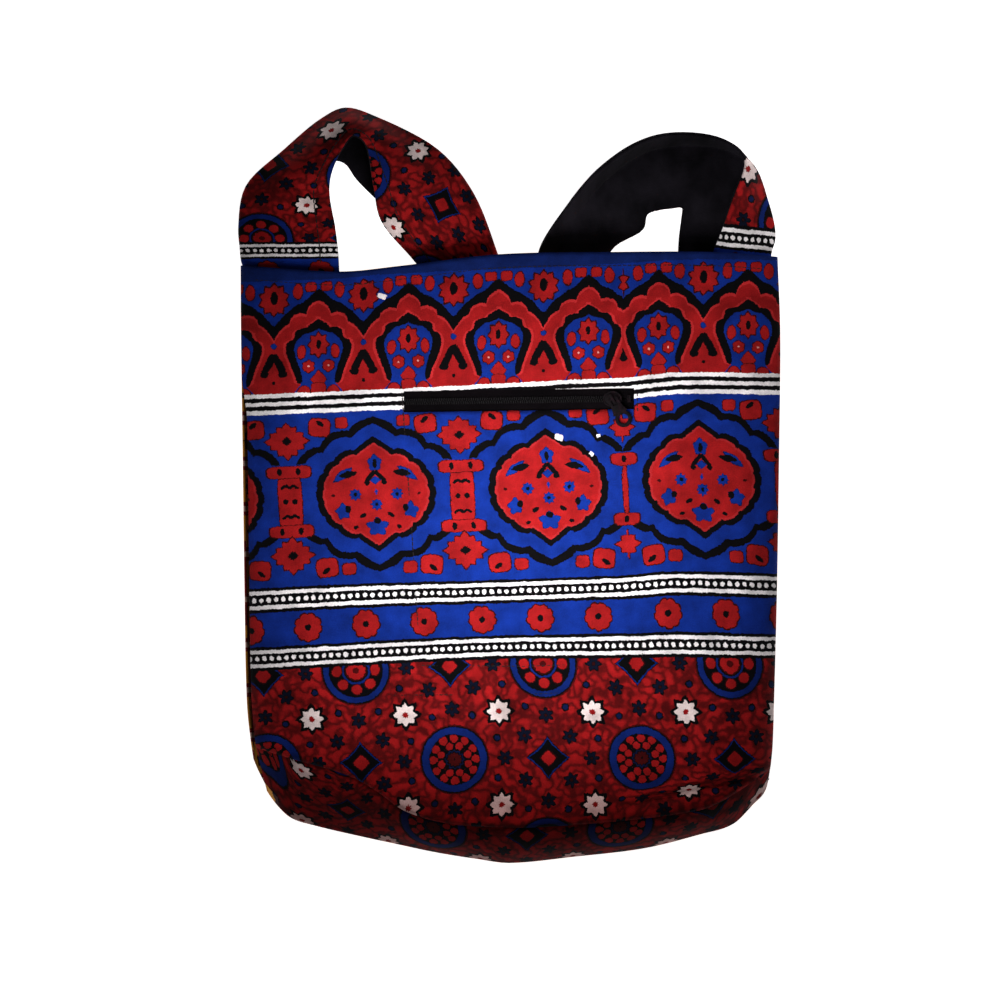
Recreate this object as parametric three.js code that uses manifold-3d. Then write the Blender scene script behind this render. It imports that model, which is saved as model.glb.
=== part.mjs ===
import * as THREE from 'three';
import { mergeVertices } from 'three/addons/utils/BufferGeometryUtils.js';
import Module from 'manifold-3d';

// Printed cotton shoulder bag lying on its back with the front panel up and the strap tucked behind it.
// Millimetres, +Z up. +X runs across the bag, +Y from the base towards the mouth, the floor is z = 0.

const wasm = await Module();
wasm.setup();

// Cloth
const wall = 2.0;
const seamGap = 0.35;
const strapPrintThick = 1.2;
const strapLiningThick = 1.0;
const strapLayerGap = 0.3;

// Height of the front panel: the crown along the middle and the rim where the side seams lie.
const frontHeights = [
  { share: 0.0, crown: 23.4 },
  { share: 0.1, crown: 25.7 },
  { share: 0.19, crown: 26.5 },
  { share: 0.34, crown: 26.7 },
  { share: 0.52, crown: 30.4 },
  { share: 0.75, crown: 36.0 },
  { share: 0.92, crown: 38.6 },
  { share: 1.0, crown: 37.6 },
];
const rimHeights = [
  { y: -190, rim: 7.6 },
  { y: -150, rim: 9.0 },
  { y: 0, rim: 9.6 },
  { y: 150, rim: 10.0 },
];
const crownPower = 5;
const crownRound = 0.55;

// Side seams, seen from above
const sideSeams = [
  { y: -200, left: -164.0, right: 171.4 },
  { y: -186, left: -168.4, right: 173.2 },
  { y: -172, left: -170.8, right: 174.6 },
  { y: -140, left: -173.6, right: 175.6 },
  { y: -70, left: -175.0, right: 177.4 },
  { y: 20, left: -176.2, right: 178.8 },
  { y: 100, left: -177.3, right: 179.6 },
  { y: 152, left: -177.6, right: 177.8 },
];

// Mouth edge, base crease and bottom edge, seen from above
const mouthEdge = [
  { x: -178, y: 146.0 },
  { x: -112, y: 141.5 },
  { x: -72, y: 145.2 },
  { x: -8, y: 152.8 },
  { x: 68, y: 154.4 },
  { x: 136, y: 154.4 },
  { x: 180, y: 151.5 },
];
const baseCrease = [
  { x: -172, y: -171.5 },
  { x: -144, y: -179.5 },
  { x: -107, y: -190.0 },
  { x: -88, y: -200.0 },
  { x: -70, y: -213.0 },
  { x: -41, y: -221.8 },
  { x: 0, y: -224.6 },
  { x: 35, y: -223.4 },
  { x: 90, y: -218.5 },
  { x: 131, y: -212.0 },
  { x: 150, y: -202.0 },
  { x: 175, y: -186.0 },
];
const bottomEdge = [
  { x: -171, y: -176.0 },
  { x: -169.6, y: -181.0 },
  { x: -163, y: -197.3 },
  { x: -154.4, y: -210.5 },
  { x: -144.5, y: -219.8 },
  { x: -129.4, y: -224.8 },
  { x: -102.3, y: -231.2 },
  { x: -74.6, y: -237.2 },
  { x: -47.5, y: -242.9 },
  { x: -20.5, y: -247.2 },
  { x: 0.7, y: -249.8 },
  { x: 43.6, y: -245.6 },
  { x: 89.8, y: -240.0 },
  { x: 128, y: -230.5 },
  { x: 148.5, y: -224.0 },
  { x: 162.4, y: -210.4 },
  { x: 170.3, y: -201.0 },
  { x: 173.6, y: -186.0 },
  { x: 174.4, y: -180.0 },
];

// Soft folds that stand up from the front panel, from one end to the other
const frontFolds = [
  { x0: 119, y0: 92, x1: 96, y1: -112, height: 2.2, width: 15 },
  { x0: -60, y0: -150, x1: 40, y1: -176, height: 1.6, width: 16 },
];

// The back panel lies on the floor and rides over the strap near the mouth.
const backLift = 9.8;
const liftFull = { halfWidth: 76, fromY: 88 };
const liftGone = { halfWidth: 108, fromY: 26 };

// The back panel's edge stands proud of the front panel along the left side, below this height.
const proudEdge = { width: 3.2, fromY: 78, fullY: 40 };

// Zip window and its parts; the zip frame's z = 0 is the top of the tapes.
const zipCentre = { x: 6.6, y: 56.6 };
const zipTurn = THREE.MathUtils.degToRad(0.8);
const windowLength = 151.8;
const windowHeight = 13.8;
const tapeLength = 164;
const tapeOuter = 10.4;
const tapeThick = 0.8;
const tapeSlot = 1.0;
const tapeMeet = 0.16;
const coilHalf = 2.2;
const coilBottom = 0.28;
const coilTop = 1.9;
const sliderX = 61.6;
const sliderHalfLong = 6.2;
const sliderHalfWide = 5.2;
const plateBottom = 2.2;
const plateTop = 3.2;
const footBottom = -2.1;
const footTop = -1.1;
const postFrom = 3.2;
const postTo = 5.6;
const postHalf = 0.7;
const bridgeHalf = 0.8;
const bridgeReach = 3.2;
const bridgePost = 1.0;
const hingeRise = 1.0;
const bridgeClear = 1.1;
const bridgeThick = 1.0;
const pullAngle = THREE.MathUtils.degToRad(-61);
const pullThick = 1.2;
const pullReach = 15.0;
const pullEndRadius = 5.6;
const pullHoleRadius = 3.1;
const pullEyeHalf = 3.0;
const eyeHole = { from: 0.6, to: 4.4, half: 1.6 };
const stopX = 72.6;

// Strap: one row for each section from the left end, sewn in at the mouth, round to the right end.
// front is the strap's front edge, fold its lengthwise fold, back its back edge; shut says how closed the fold is
// and belly how far the front half bulges up.
const strapSections = [
  { front: [-112, 126, 18], fold: [-170.6, 126, 8], back: [-134, 126, 4.6], shut: 1, belly: 0 },
  { front: [-112, 137, 17.6], fold: [-171, 137, 8], back: [-136, 137, 4.6], shut: 1, belly: 0 },
  { front: [-112.4, 147, 16.4], fold: [-172.6, 148, 7.6], back: [-138, 148, 4.4], shut: 1, belly: 0 },
  { front: [-113, 157, 14], fold: [-177.2, 159, 6.4], back: [-138.6, 159, 3.2], shut: 1, belly: 1.5 },
  { front: [-115, 172, 12], fold: [-178, 172, 5.2], back: [-139, 174, 2.2], shut: 1, belly: 3 },
  { front: [-118.6, 195, 19], fold: [-173.4, 198, 4.4], back: [-134, 194, 1.6], shut: 1, belly: 6 },
  { front: [-115.4, 210, 32], fold: [-148.5, 222, 4.3], back: [-124, 208, 1.6], shut: 1, belly: 8 },
  { front: [-108.6, 223, 39], fold: [-123.6, 242.6, 4.3], back: [-116.4, 215.4, 1.6], shut: 1, belly: 7 },
  { front: [-102.6, 230, 40], fold: [-108.6, 249.4, 4.3], back: [-109, 213.8, 1.6], shut: 1, belly: 6 },
  { front: [-95, 226, 37], fold: [-87, 243, 4.3], back: [-101.2, 203.4, 1.6], shut: 1, belly: 6 },
  { front: [-89.6, 199, 25], fold: [-47.6, 222, 4.3], back: [-86.4, 188.6, 1.6], shut: 1, belly: 8 },
  { front: [-84.6, 175.6, 13], fold: [-24.4, 193.4, 4.2], back: [-68.6, 172.3, 1.6], shut: 1, belly: 4 },
  { front: [-65.6, 152.5, 7], fold: [-8.2, 152.5, 4.2], back: [-45.4, 150.5, 1.5], shut: 1, belly: 0.4 },
  { front: [-39, 123, 6.8], fold: [-2, 134, 4.2], back: [-37.4, 112, 1.5], shut: 1, belly: 0 },
  { front: [0, 104, 6.6], fold: [6, 122, 3.9], back: [-6, 74, 1.5], shut: 0.9, belly: 0 },
  { front: [17.4, 114.6, 7], fold: [17, 125, 3], back: [33.6, 76.6, 1.6], shut: 0.4, belly: 0 },
  { front: [25.4, 133.4, 7.8], fold: [23.6, 134.4, 2.2], back: [54, 94, 1.6], shut: 0, belly: 0 },
  { front: [19.6, 147, 6], fold: [26.6, 144, 2], back: [64, 118, 1.6], shut: 0, belly: 0 },
  { front: [20.4, 157, 5], fold: [30.6, 155, 2], back: [67.6, 155.6, 1.5], shut: 0, belly: 0 },
  { front: [36, 181, 12], fold: [48.4, 183.6, 2], back: [89.2, 170.3, 1.5], shut: 0, belly: 0 },
  { front: [58.6, 208, 20], fold: [67.8, 205.6, 2.4], back: [92, 180, 1.6], shut: 0, belly: 0 },
  { front: [86, 226.4, 27], fold: [92.8, 222, 3], back: [99.6, 182.8, 1.8], shut: 0, belly: 0 },
  { front: [110, 231.7, 32], fold: [120.4, 226, 4], back: [108.6, 184, 2.2], shut: 0, belly: 0 },
  { front: [141, 227, 35], fold: [146, 222.4, 5.6], back: [113.6, 184.6, 2.4], shut: 0.1, belly: 0 },
  { front: [154.4, 215.4, 36], fold: [161, 211.6, 7], back: [114.8, 184, 2.6], shut: 0.3, belly: 2 },
  { front: [146.6, 187, 27], fold: [170.6, 188.6, 7], back: [114.4, 179.4, 2.8], shut: 0.8, belly: 3 },
  { front: [138.6, 164, 18.6], fold: [175.4, 165.6, 7], back: [112.6, 165, 3.6], shut: 1, belly: 2 },
  { front: [134.6, 154, 15.6], fold: [172.6, 154, 7.6], back: [112, 154, 5], shut: 1, belly: 0 },
  { front: [133.6, 142, 16.4], fold: [171.4, 142, 7.8], back: [112, 142, 5], shut: 1, belly: 0 },
  { front: [133, 132, 16.8], fold: [171, 132, 7.8], back: [112, 132, 5], shut: 1, belly: 0 },
];
const foldShare = 0.12;
const foldReach = 5;
const foldRound = 2.3;
const stepsPerSection = 2;
const strapAcross = 10;

const frontRows = 20;
const frontColumns = 32;
const baseRows = 7;
const backRows = 15;
const backColumns = 24;

const red = new THREE.MeshStandardMaterial({ color: 0x9c1a1c, roughness: 0.9 });
const indigo = new THREE.MeshStandardMaterial({ color: 0x17308c, roughness: 0.9 });
const rust = new THREE.MeshStandardMaterial({ color: 0xb56a2a, roughness: 0.9 });
const black = new THREE.MeshStandardMaterial({ color: 0x141216, roughness: 0.9 });
const nylon = new THREE.MeshStandardMaterial({ color: 0x1a1a1e, roughness: 0.5 });
const darkMetal = new THREE.MeshStandardMaterial({ color: 0x3a342f, roughness: 0.4, metalness: 0.9 });

function smoothstep(from, to, value) {
  const share = THREE.MathUtils.clamp((value - from) / (to - from), 0, 1);
  return share * share * (3 - 2 * share);
}

// Reads a column of a table at a key between its rows, along a smooth curve.
function readTable(table, key, column, at) {
  const last = table.length - 1;
  if (at <= table[0][key]) return table[0][column];
  if (at >= table[last][key]) return table[last][column];
  let k = 0;
  while (table[k + 1][key] < at) k += 1;
  const slope = (a, b) => (table[b][column] - table[a][column]) / (table[b][key] - table[a][key]);
  const span = table[k + 1][key] - table[k][key];
  const t = (at - table[k][key]) / span;
  const m0 = slope(Math.max(k - 1, 0), k + 1) * span;
  const m1 = slope(k, Math.min(k + 2, last)) * span;
  const t2 = t * t;
  const t3 = t2 * t;
  return (2 * t3 - 3 * t2 + 1) * table[k][column] + (t3 - 2 * t2 + t) * m0
    + (3 * t2 - 2 * t3) * table[k + 1][column] + (t3 - t2) * m1;
}

const sideAt = (s, y) => Math.abs(s) * readTable(sideSeams, 'y', s < 0 ? 'left' : 'right', y);
const proudAt = (y) => proudEdge.width * smoothstep(proudEdge.fromY, proudEdge.fullY, y);
const mouthY = (x) => readTable(mouthEdge, 'x', 'y', x);
const creaseY = (x) => readTable(baseCrease, 'x', 'y', x);
const bottomY = (x) => readTable(bottomEdge, 'x', 'y', x);
const rimAt = (y) => readTable(rimHeights, 'y', 'rim', y);

// Columns crowd together towards the side seams, where the cloth turns.
const spread = (j, columns) => Math.sin((j / columns - 0.5) * Math.PI);

// Finds the place seen from above that lies a share of the way between two edges.
function planSpot(s, share, fromEdge, toEdge, inset) {
  let x = s * 176;
  let y = 0;
  for (let pass = 0; pass < 4; pass += 1) {
    y = THREE.MathUtils.lerp(fromEdge(x), toEdge(x), share);
    x = sideAt(s, y) + (s < 0 ? -s * inset * proudAt(y) : 0);
  }
  return new THREE.Vector3(x, y, 0);
}

function foldHeight(x, y) {
  let height = 0;
  for (const fold of frontFolds) {
    const along = new THREE.Vector2(fold.x1 - fold.x0, fold.y1 - fold.y0);
    const from = new THREE.Vector2(x - fold.x0, y - fold.y0);
    const t = from.dot(along) / along.lengthSq();
    const off = Math.abs(from.cross(along)) / along.length();
    const ends = smoothstep(-0.1, 0.3, t) * smoothstep(1.1, 0.7, t);
    height += fold.height * ends * Math.exp(-((off / fold.width) ** 2));
  }
  return height;
}

function frontOuter(s, share) {
  const spot = planSpot(s, share, mouthY, creaseY, 1);
  const crown = readTable(frontHeights, 'share', 'crown', share);
  const rim = rimAt(spot.y);
  const round = (1 - Math.abs(s) ** crownPower) ** crownRound;
  spot.z = rim + (crown - rim) * round + foldHeight(spot.x, spot.y) * round;
  return spot;
}

function liftAt(x, y) {
  const across = smoothstep(liftGone.halfWidth, liftFull.halfWidth, Math.abs(x));
  return backLift * across * smoothstep(liftGone.fromY, liftFull.fromY, y);
}

function backOuter(s, share) {
  const spot = planSpot(s, share, mouthY, bottomY, 0);
  const edge = Math.abs(sideAt(s < 0 ? -1 : 1, spot.y));
  const turn = (rimAt(spot.y) - seamGap) * smoothstep(-179, -150, spot.y);
  const into = Math.abs(spot.x) - (edge - turn);
  spot.z = liftAt(spot.x, spot.y);
  if (into > 0 && turn > 0.05) spot.z += turn - Math.sqrt(Math.max(turn * turn - into * into, 0));
  return spot;
}

function gridOf(rows, columns, spotAt) {
  const grid = [];
  for (let i = 0; i <= rows; i += 1) {
    const row = [];
    for (let j = 0; j <= columns; j += 1) row.push(spotAt(i, j));
    grid.push(row);
  }
  return grid;
}

function gridNormals(grid) {
  const rows = grid.length - 1;
  const columns = grid[0].length - 1;
  return gridOf(rows, columns, (i, j) => {
    const down = grid[Math.min(i + 1, rows)][j].clone().sub(grid[Math.max(i - 1, 0)][j]);
    const across = grid[i][Math.min(j + 1, columns)].clone().sub(grid[i][Math.max(j - 1, 0)]);
    return down.cross(across).normalize();
  });
}

function offsetGrid(grid, normals, distance) {
  return gridOf(grid.length - 1, grid[0].length - 1, (i, j) => (
    grid[i][j].clone().addScaledVector(normals[i][j], distance)
  ));
}

// Closes the space between two grids of the same size into one solid.
function solidBetween(top, under) {
  const rows = top.length - 1;
  const columns = top[0].length - 1;
  const positions = [];
  for (const grid of [top, under]) {
    for (const row of grid) {
      for (const spot of row) positions.push(spot.x, spot.y, spot.z);
    }
  }
  const half = (rows + 1) * (columns + 1);
  const at = (side, i, j) => side * half + i * (columns + 1) + j;
  const index = [];
  const quad = (a, b, c, d) => index.push(a, b, c, a, c, d);
  for (let i = 0; i < rows; i += 1) {
    for (let j = 0; j < columns; j += 1) {
      quad(at(0, i, j), at(0, i + 1, j), at(0, i + 1, j + 1), at(0, i, j + 1));
      quad(at(1, i, j), at(1, i, j + 1), at(1, i + 1, j + 1), at(1, i + 1, j));
    }
  }
  for (let j = 0; j < columns; j += 1) {
    quad(at(0, 0, j), at(0, 0, j + 1), at(1, 0, j + 1), at(1, 0, j));
    quad(at(0, rows, j + 1), at(0, rows, j), at(1, rows, j), at(1, rows, j + 1));
  }
  for (let i = 0; i < rows; i += 1) {
    quad(at(0, i + 1, 0), at(0, i, 0), at(1, i, 0), at(1, i + 1, 0));
    quad(at(0, i, columns), at(0, i + 1, columns), at(1, i + 1, columns), at(1, i, columns));
  }
  const geometry = new THREE.BufferGeometry();
  geometry.setAttribute('position', new THREE.Float32BufferAttribute(positions, 3));
  geometry.setIndex(index);
  return geometry;
}

function toManifold(source) {
  const bare = source.clone();
  bare.deleteAttribute('normal');
  bare.deleteAttribute('uv');
  const merged = mergeVertices(bare, 1e-4);
  return new wasm.Manifold(new wasm.Mesh({
    numProp: 3,
    vertProperties: new Float32Array(merged.attributes.position.array),
    triVerts: new Uint32Array(merged.index.array),
  }));
}

function fromManifold(solid) {
  const mesh = solid.getMesh();
  const geometry = new THREE.BufferGeometry();
  geometry.setAttribute('position', new THREE.BufferAttribute(new Float32Array(mesh.vertProperties), 3));
  geometry.setIndex(new THREE.BufferAttribute(new Uint32Array(mesh.triVerts), 1));
  return geometry;
}

function block(x0, x1, y0, y1, z0, z1) {
  const geometry = new THREE.BoxGeometry(x1 - x0, y1 - y0, z1 - z0);
  geometry.translate((x0 + x1) / 2, (y0 + y1) / 2, (z0 + z1) / 2);
  return geometry;
}

function plate(shape, z0, z1, curveSegments) {
  const geometry = new THREE.ExtrudeGeometry(shape, { depth: z1 - z0, bevelEnabled: false, curveSegments });
  geometry.translate(0, 0, z0);
  return geometry;
}

// Front panel with its zip window
const frontGrid = gridOf(frontRows, frontColumns, (i, j) => frontOuter(spread(j, frontColumns), i / frontRows));
const frontNormals = gridNormals(frontGrid);
const frontUnder = offsetGrid(frontGrid, frontNormals, -wall);
for (const spot of frontUnder.flat()) spot.z = Math.max(spot.z, rimAt(spot.y));
const panelTopAtZip = 26.6;
const zipFrame = new THREE.Matrix4().makeRotationZ(zipTurn);
zipFrame.setPosition(zipCentre.x, zipCentre.y, panelTopAtZip - wall - 0.55);
const windowCut = block(-windowLength / 2, windowLength / 2, -windowHeight / 2, windowHeight / 2, -9, 12);
windowCut.applyMatrix4(zipFrame);
const frontPanel = fromManifold(toManifold(solidBetween(frontGrid, frontUnder)).subtract(toManifold(windowCut)));

// Base panel: tucked under the front panel's lower edge, then down to the bottom edge
const bottomRise = 4.1;
const baseBelly = 4.5;
const underLip = offsetGrid(frontGrid, frontNormals, -(wall + seamGap));
const baseGrid = gridOf(baseRows, frontColumns, (i, j) => {
  const s = spread(j, frontColumns);
  const lip = underLip[frontRows][j];
  if (i === 0) return underLip[frontRows - 1][j].clone().lerp(lip, 0.5);
  const share = (i - 1) / (baseRows - 1);
  const end = planSpot(s, 1, mouthY, bottomY, 1);
  end.z = bottomRise;
  const spot = lip.clone().lerp(end, share);
  const out = baseBelly * 4 * share * (1 - share) * (1 - s ** 4);
  spot.y -= out * 0.5;
  spot.z += out * 0.8;
  return spot;
});
const basePanel = solidBetween(baseGrid, offsetGrid(baseGrid, gridNormals(baseGrid), -wall));

// Back panel: its outer face is the one that lies on the floor
const backGrid = gridOf(backRows, backColumns, (i, j) => backOuter(spread(j, backColumns), i / backRows));
const backInside = offsetGrid(backGrid, gridNormals(backGrid), wall);
for (const spot of backInside.flat()) spot.z = Math.min(spot.z, Math.max(rimAt(spot.y) - seamGap, wall));
const backPanel = solidBetween(backInside, backGrid);

// Strap
function strapSection(row) {
  const front = new THREE.Vector3(...row.front);
  const fold = new THREE.Vector3(...row.fold);
  const back = new THREE.Vector3(...row.back);
  const nearShare = (edge) => Math.min(Math.max(foldShare, foldReach / fold.distanceTo(edge)), 0.45);
  const frontNear = fold.clone().lerp(front, nearShare(front));
  frontNear.z += foldRound * row.shut;
  const backNear = fold.clone().lerp(back, nearShare(back));
  backNear.z -= foldRound * row.shut;
  backNear.z = Math.max(backNear.z, 1.5);
  const frontMiddle = frontNear.clone().lerp(front, 0.5);
  frontMiddle.z += row.belly;
  const backMiddle = backNear.clone().lerp(back, 0.5);
  return [front, frontMiddle, frontNear, fold, backNear, backMiddle, back];
}
const strapRails = strapSections.map(strapSection);
const railCurves = strapRails[0].map((_, k) => (
  new THREE.CatmullRomCurve3(strapRails.map((rail) => rail[k]), false, 'centripetal')
));
const strapRows = (strapSections.length - 1) * stepsPerSection;
const strapGrid = gridOf(strapRows, strapAcross, () => null);
for (let i = 0; i <= strapRows; i += 1) {
  const across = new THREE.CatmullRomCurve3(railCurves.map((rail) => rail.getPoint(i / strapRows)), false, 'centripetal');
  for (let j = 0; j <= strapAcross; j += 1) strapGrid[i][j] = across.getPoint(j / strapAcross);
}
const strapNormals = gridNormals(strapGrid);
const liningFrom = -strapLayerGap / 2;
const strapFace = offsetGrid(strapGrid, strapNormals, strapLayerGap / 2 + strapPrintThick);
for (const spot of strapFace.flat()) spot.z = Math.max(spot.z, 0);
const strapPrint = solidBetween(
  strapFace,
  offsetGrid(strapGrid, strapNormals, strapLayerGap / 2),
);
const strapLining = solidBetween(
  offsetGrid(strapGrid, strapNormals, liningFrom),
  offsetGrid(strapGrid, strapNormals, liningFrom - strapLiningThick),
);

// Zip tapes meet beyond the slider and part under the coil.
const partEnd = sliderX + sliderHalfLong + 0.5;
function tapeShape(side) {
  const corners = [
    [-tapeLength / 2, tapeSlot],
    [partEnd, tapeSlot],
    [partEnd, tapeMeet],
    [tapeLength / 2, tapeMeet],
    [tapeLength / 2, tapeOuter],
    [-tapeLength / 2, tapeOuter],
  ];
  return new THREE.Shape(corners.map(([x, y]) => new THREE.Vector2(x, side * y)));
}
const tapeUpper = plate(tapeShape(1), -tapeThick, 0, 1);
const tapeLower = plate(tapeShape(-1), -tapeThick, 0, 1);

const coilProfile = new THREE.Shape();
coilProfile.moveTo(-coilHalf, coilBottom);
coilProfile.lineTo(coilHalf, coilBottom);
coilProfile.quadraticCurveTo(coilHalf, coilTop, 0, coilTop);
coilProfile.quadraticCurveTo(-coilHalf, coilTop, -coilHalf, coilBottom);
const coilStart = 0.4 - windowLength / 2;
const coilEnd = sliderX + postFrom - 0.3;
const zipCoil = plate(coilProfile, 0, coilEnd - coilStart, 5);
zipCoil.rotateX(Math.PI / 2);
zipCoil.rotateZ(Math.PI / 2);
zipCoil.translate(coilStart, 0, 0);

// Slider: a plate over the coil, a plate under the tapes, the post between and the bridge for the pull
function ovalShape(halfLong, halfWide) {
  const shape = new THREE.Shape();
  shape.absellipse(0, 0, halfLong, halfWide, 0, Math.PI * 2);
  return shape;
}
const hingeZ = plateTop + hingeRise;
const bridgeBottom = hingeZ + bridgeClear;
const bridgeTop = bridgeBottom + bridgeThick;
const bridgeArch = toManifold(block(-bridgeReach, bridgeReach, -bridgeHalf, bridgeHalf, plateTop - 0.4, bridgeTop))
  .subtract(toManifold(block(
    bridgePost - bridgeReach, bridgeReach - bridgePost, -bridgeHalf - 1, bridgeHalf + 1, plateTop - 1, bridgeBottom,
  )));
const bridgeTurned = fromManifold(bridgeArch);
bridgeTurned.rotateZ(pullAngle - zipTurn);
const sliderTop = toManifold(plate(ovalShape(sliderHalfLong, sliderHalfWide), coilBottom, plateTop, 12))
  .subtract(toManifold(block(-20, 20, -coilHalf - 0.35, coilHalf + 0.35, -5, plateBottom)));
const sliderFoot = toManifold(plate(ovalShape(sliderHalfLong, sliderHalfWide), footBottom, footTop, 12));
const sliderPost = toManifold(block(postFrom, postTo, -postHalf, postHalf, footTop - 0.3, plateTop - 0.3));
const slider = fromManifold(sliderTop.add(sliderFoot).add(sliderPost).add(toManifold(bridgeTurned)));
slider.translate(sliderX, 0, 0);

// Pull tab: an eye round the bridge's post, a tab that widens and a round end with a hole
const pullShape = new THREE.Shape();
pullShape.moveTo(-0.7, -pullEyeHalf);
pullShape.lineTo(4.8, -pullEyeHalf);
pullShape.quadraticCurveTo(8.6, -pullEyeHalf, 10.4, -4.2);
pullShape.absarc(pullReach, 0, pullEndRadius, -Math.PI * 0.72, Math.PI * 0.72, false);
pullShape.lineTo(10.4, 4.2);
pullShape.quadraticCurveTo(8.6, pullEyeHalf, 4.8, pullEyeHalf);
pullShape.lineTo(-0.7, pullEyeHalf);
const eye = new THREE.Path();
eye.moveTo(eyeHole.from, -eyeHole.half);
eye.lineTo(eyeHole.from, eyeHole.half);
eye.lineTo(eyeHole.to, eyeHole.half);
eye.lineTo(eyeHole.to, -eyeHole.half);
const endHole = new THREE.Path();
endHole.absarc(pullReach, 0, pullHoleRadius, 0, Math.PI * 2, true);
pullShape.holes.push(eye, endHole);
const pull = plate(pullShape, -pullThick / 2, pullThick / 2, 14);
pull.rotateZ(pullAngle - zipTurn);
pull.translate(sliderX, 0, hingeZ);

// End stop folded over both tapes just past the slider
const stop = block(stopX - 1.2, stopX + 1.2, -2.4, 2.4, 0.3, 1.5);

const bag = new THREE.Group();
bag.name = 'shoulder_bag';

function addPiece(name, geometry, material, frame) {
  if (frame) geometry.applyMatrix4(frame);
  const bare = geometry.clone();
  bare.deleteAttribute('normal');
  bare.deleteAttribute('uv');
  const merged = mergeVertices(bare, 1e-4);
  merged.computeVertexNormals();
  const mesh = new THREE.Mesh(merged, material);
  mesh.name = name;
  bag.add(mesh);
}

addPiece('front_panel', frontPanel, indigo);
addPiece('base_panel', basePanel, red);
addPiece('back_panel', backPanel, rust);
addPiece('strap_print', strapPrint, red);
addPiece('strap_lining', strapLining, black);
addPiece('zip_tape_upper', tapeUpper, black, zipFrame);
addPiece('zip_tape_lower', tapeLower, black, zipFrame);
addPiece('zip_coil', zipCoil, nylon, zipFrame);
addPiece('zip_slider', slider, darkMetal, zipFrame);
addPiece('zip_pull', pull, darkMetal, zipFrame);
addPiece('zip_stop', stop, darkMetal, zipFrame);

export default bag;
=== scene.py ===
# Printed cotton shoulder bag, lying on its back and seen from straight above
import math
import bpy
from mathutils import Matrix, Vector, noise


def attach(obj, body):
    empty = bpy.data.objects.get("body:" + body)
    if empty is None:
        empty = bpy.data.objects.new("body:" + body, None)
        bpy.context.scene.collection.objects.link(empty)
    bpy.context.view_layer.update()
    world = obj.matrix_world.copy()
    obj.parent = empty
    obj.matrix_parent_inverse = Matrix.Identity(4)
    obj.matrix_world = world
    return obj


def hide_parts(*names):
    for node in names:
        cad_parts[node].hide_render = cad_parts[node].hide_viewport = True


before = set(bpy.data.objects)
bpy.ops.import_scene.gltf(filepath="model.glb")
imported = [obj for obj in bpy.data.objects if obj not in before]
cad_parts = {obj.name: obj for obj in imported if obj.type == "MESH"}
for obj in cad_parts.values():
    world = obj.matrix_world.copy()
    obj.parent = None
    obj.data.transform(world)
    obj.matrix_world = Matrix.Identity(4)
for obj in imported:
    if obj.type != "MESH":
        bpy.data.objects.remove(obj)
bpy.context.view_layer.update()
bpy.ops.object.select_all(action="DESELECT")
print("frame loaded")

mm = 0.001


# small helpers for shapes

def smoothStep(start, end, value):
    share = min(max((value - start) / (end - start), 0), 1)
    return share * share * (3 - 2 * share)


def mixed(a, b, share):
    return a + (b - a) * share


def ridge(reach, height, at, width):
    # a rounded ridge, or a groove where the height is negative
    return height * math.exp(-((reach - at) / width) ** 2)


def readRows(rows, at, column=1):
    # reads one column of a table between its rows, along a smooth curve
    last = len(rows) - 1
    if at <= rows[0][0]:
        return rows[0][column]
    if at >= rows[last][0]:
        return rows[last][column]
    k = 0
    while rows[k + 1][0] < at:
        k += 1

    def slope(a, b):
        return (rows[b][column] - rows[a][column]) / (rows[b][0] - rows[a][0])

    span = rows[k + 1][0] - rows[k][0]
    t = (at - rows[k][0]) / span
    m0 = slope(max(k - 1, 0), k + 1) * span
    m1 = slope(k, min(k + 2, last)) * span
    return ((2 * t ** 3 - 3 * t * t + 1) * rows[k][column] + (t ** 3 - 2 * t * t + t) * m0
            + (3 * t * t - 2 * t ** 3) * rows[k + 1][column] + (t ** 3 - t * t) * m1)


def sheetObject(name, spots, quads, cloth, finishes, finishOf=None):
    # spots and cloth are in millimetres; cloth is the place in the cut cloth, kept as the UV map
    mesh = bpy.data.meshes.new(name)
    mesh.from_pydata([Vector(spot) * mm for spot in spots], [], quads)
    layer = mesh.uv_layers.new(name="cloth")
    for loop in mesh.loops:
        layer.data[loop.index].uv = cloth[loop.vertex_index]
    for finish in finishes:
        mesh.materials.append(finish)
    for polygon in mesh.polygons:
        polygon.use_smooth = True
        if finishOf:
            polygon.material_index = finishOf([cloth[v] for v in polygon.vertices])
    piece = bpy.data.objects.new(name, mesh)
    bpy.context.collection.objects.link(piece)
    return piece


def pickOnly(*pieces):
    bpy.ops.object.select_all(action="DESELECT")
    for piece in pieces:
        piece.select_set(True)
    bpy.context.view_layer.objects.active = pieces[0]


def finishWith(piece, kind, **settings):
    pickOnly(piece)
    modifier = piece.modifiers.new(kind, kind)
    for name, value in settings.items():
        setattr(modifier, name, value)
    bpy.ops.object.modifier_apply(modifier=kind)
    piece.select_set(False)


def thicken(piece, thick, inside=0):
    # gives a sheet its thickness, downwards; its inner face takes the finish this many slots on
    finishWith(piece, "SOLIDIFY", thickness=thick * mm, offset=-1, material_offset=inside,
               material_offset_rim=0)


# small helpers for finishes

def dye(hexValue, alpha=1.0):
    parts = [int(hexValue[k:k + 2], 16) / 255 for k in (1, 3, 5)]
    return [*(p / 12.92 if p <= 0.04045 else ((p + 0.055) / 1.055) ** 2.4 for p in parts), alpha]


def newFinish(name):
    finish = bpy.data.materials.new(name)
    finish.use_nodes = True
    finish.node_tree.nodes.clear()
    return finish, finish.node_tree


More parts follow.
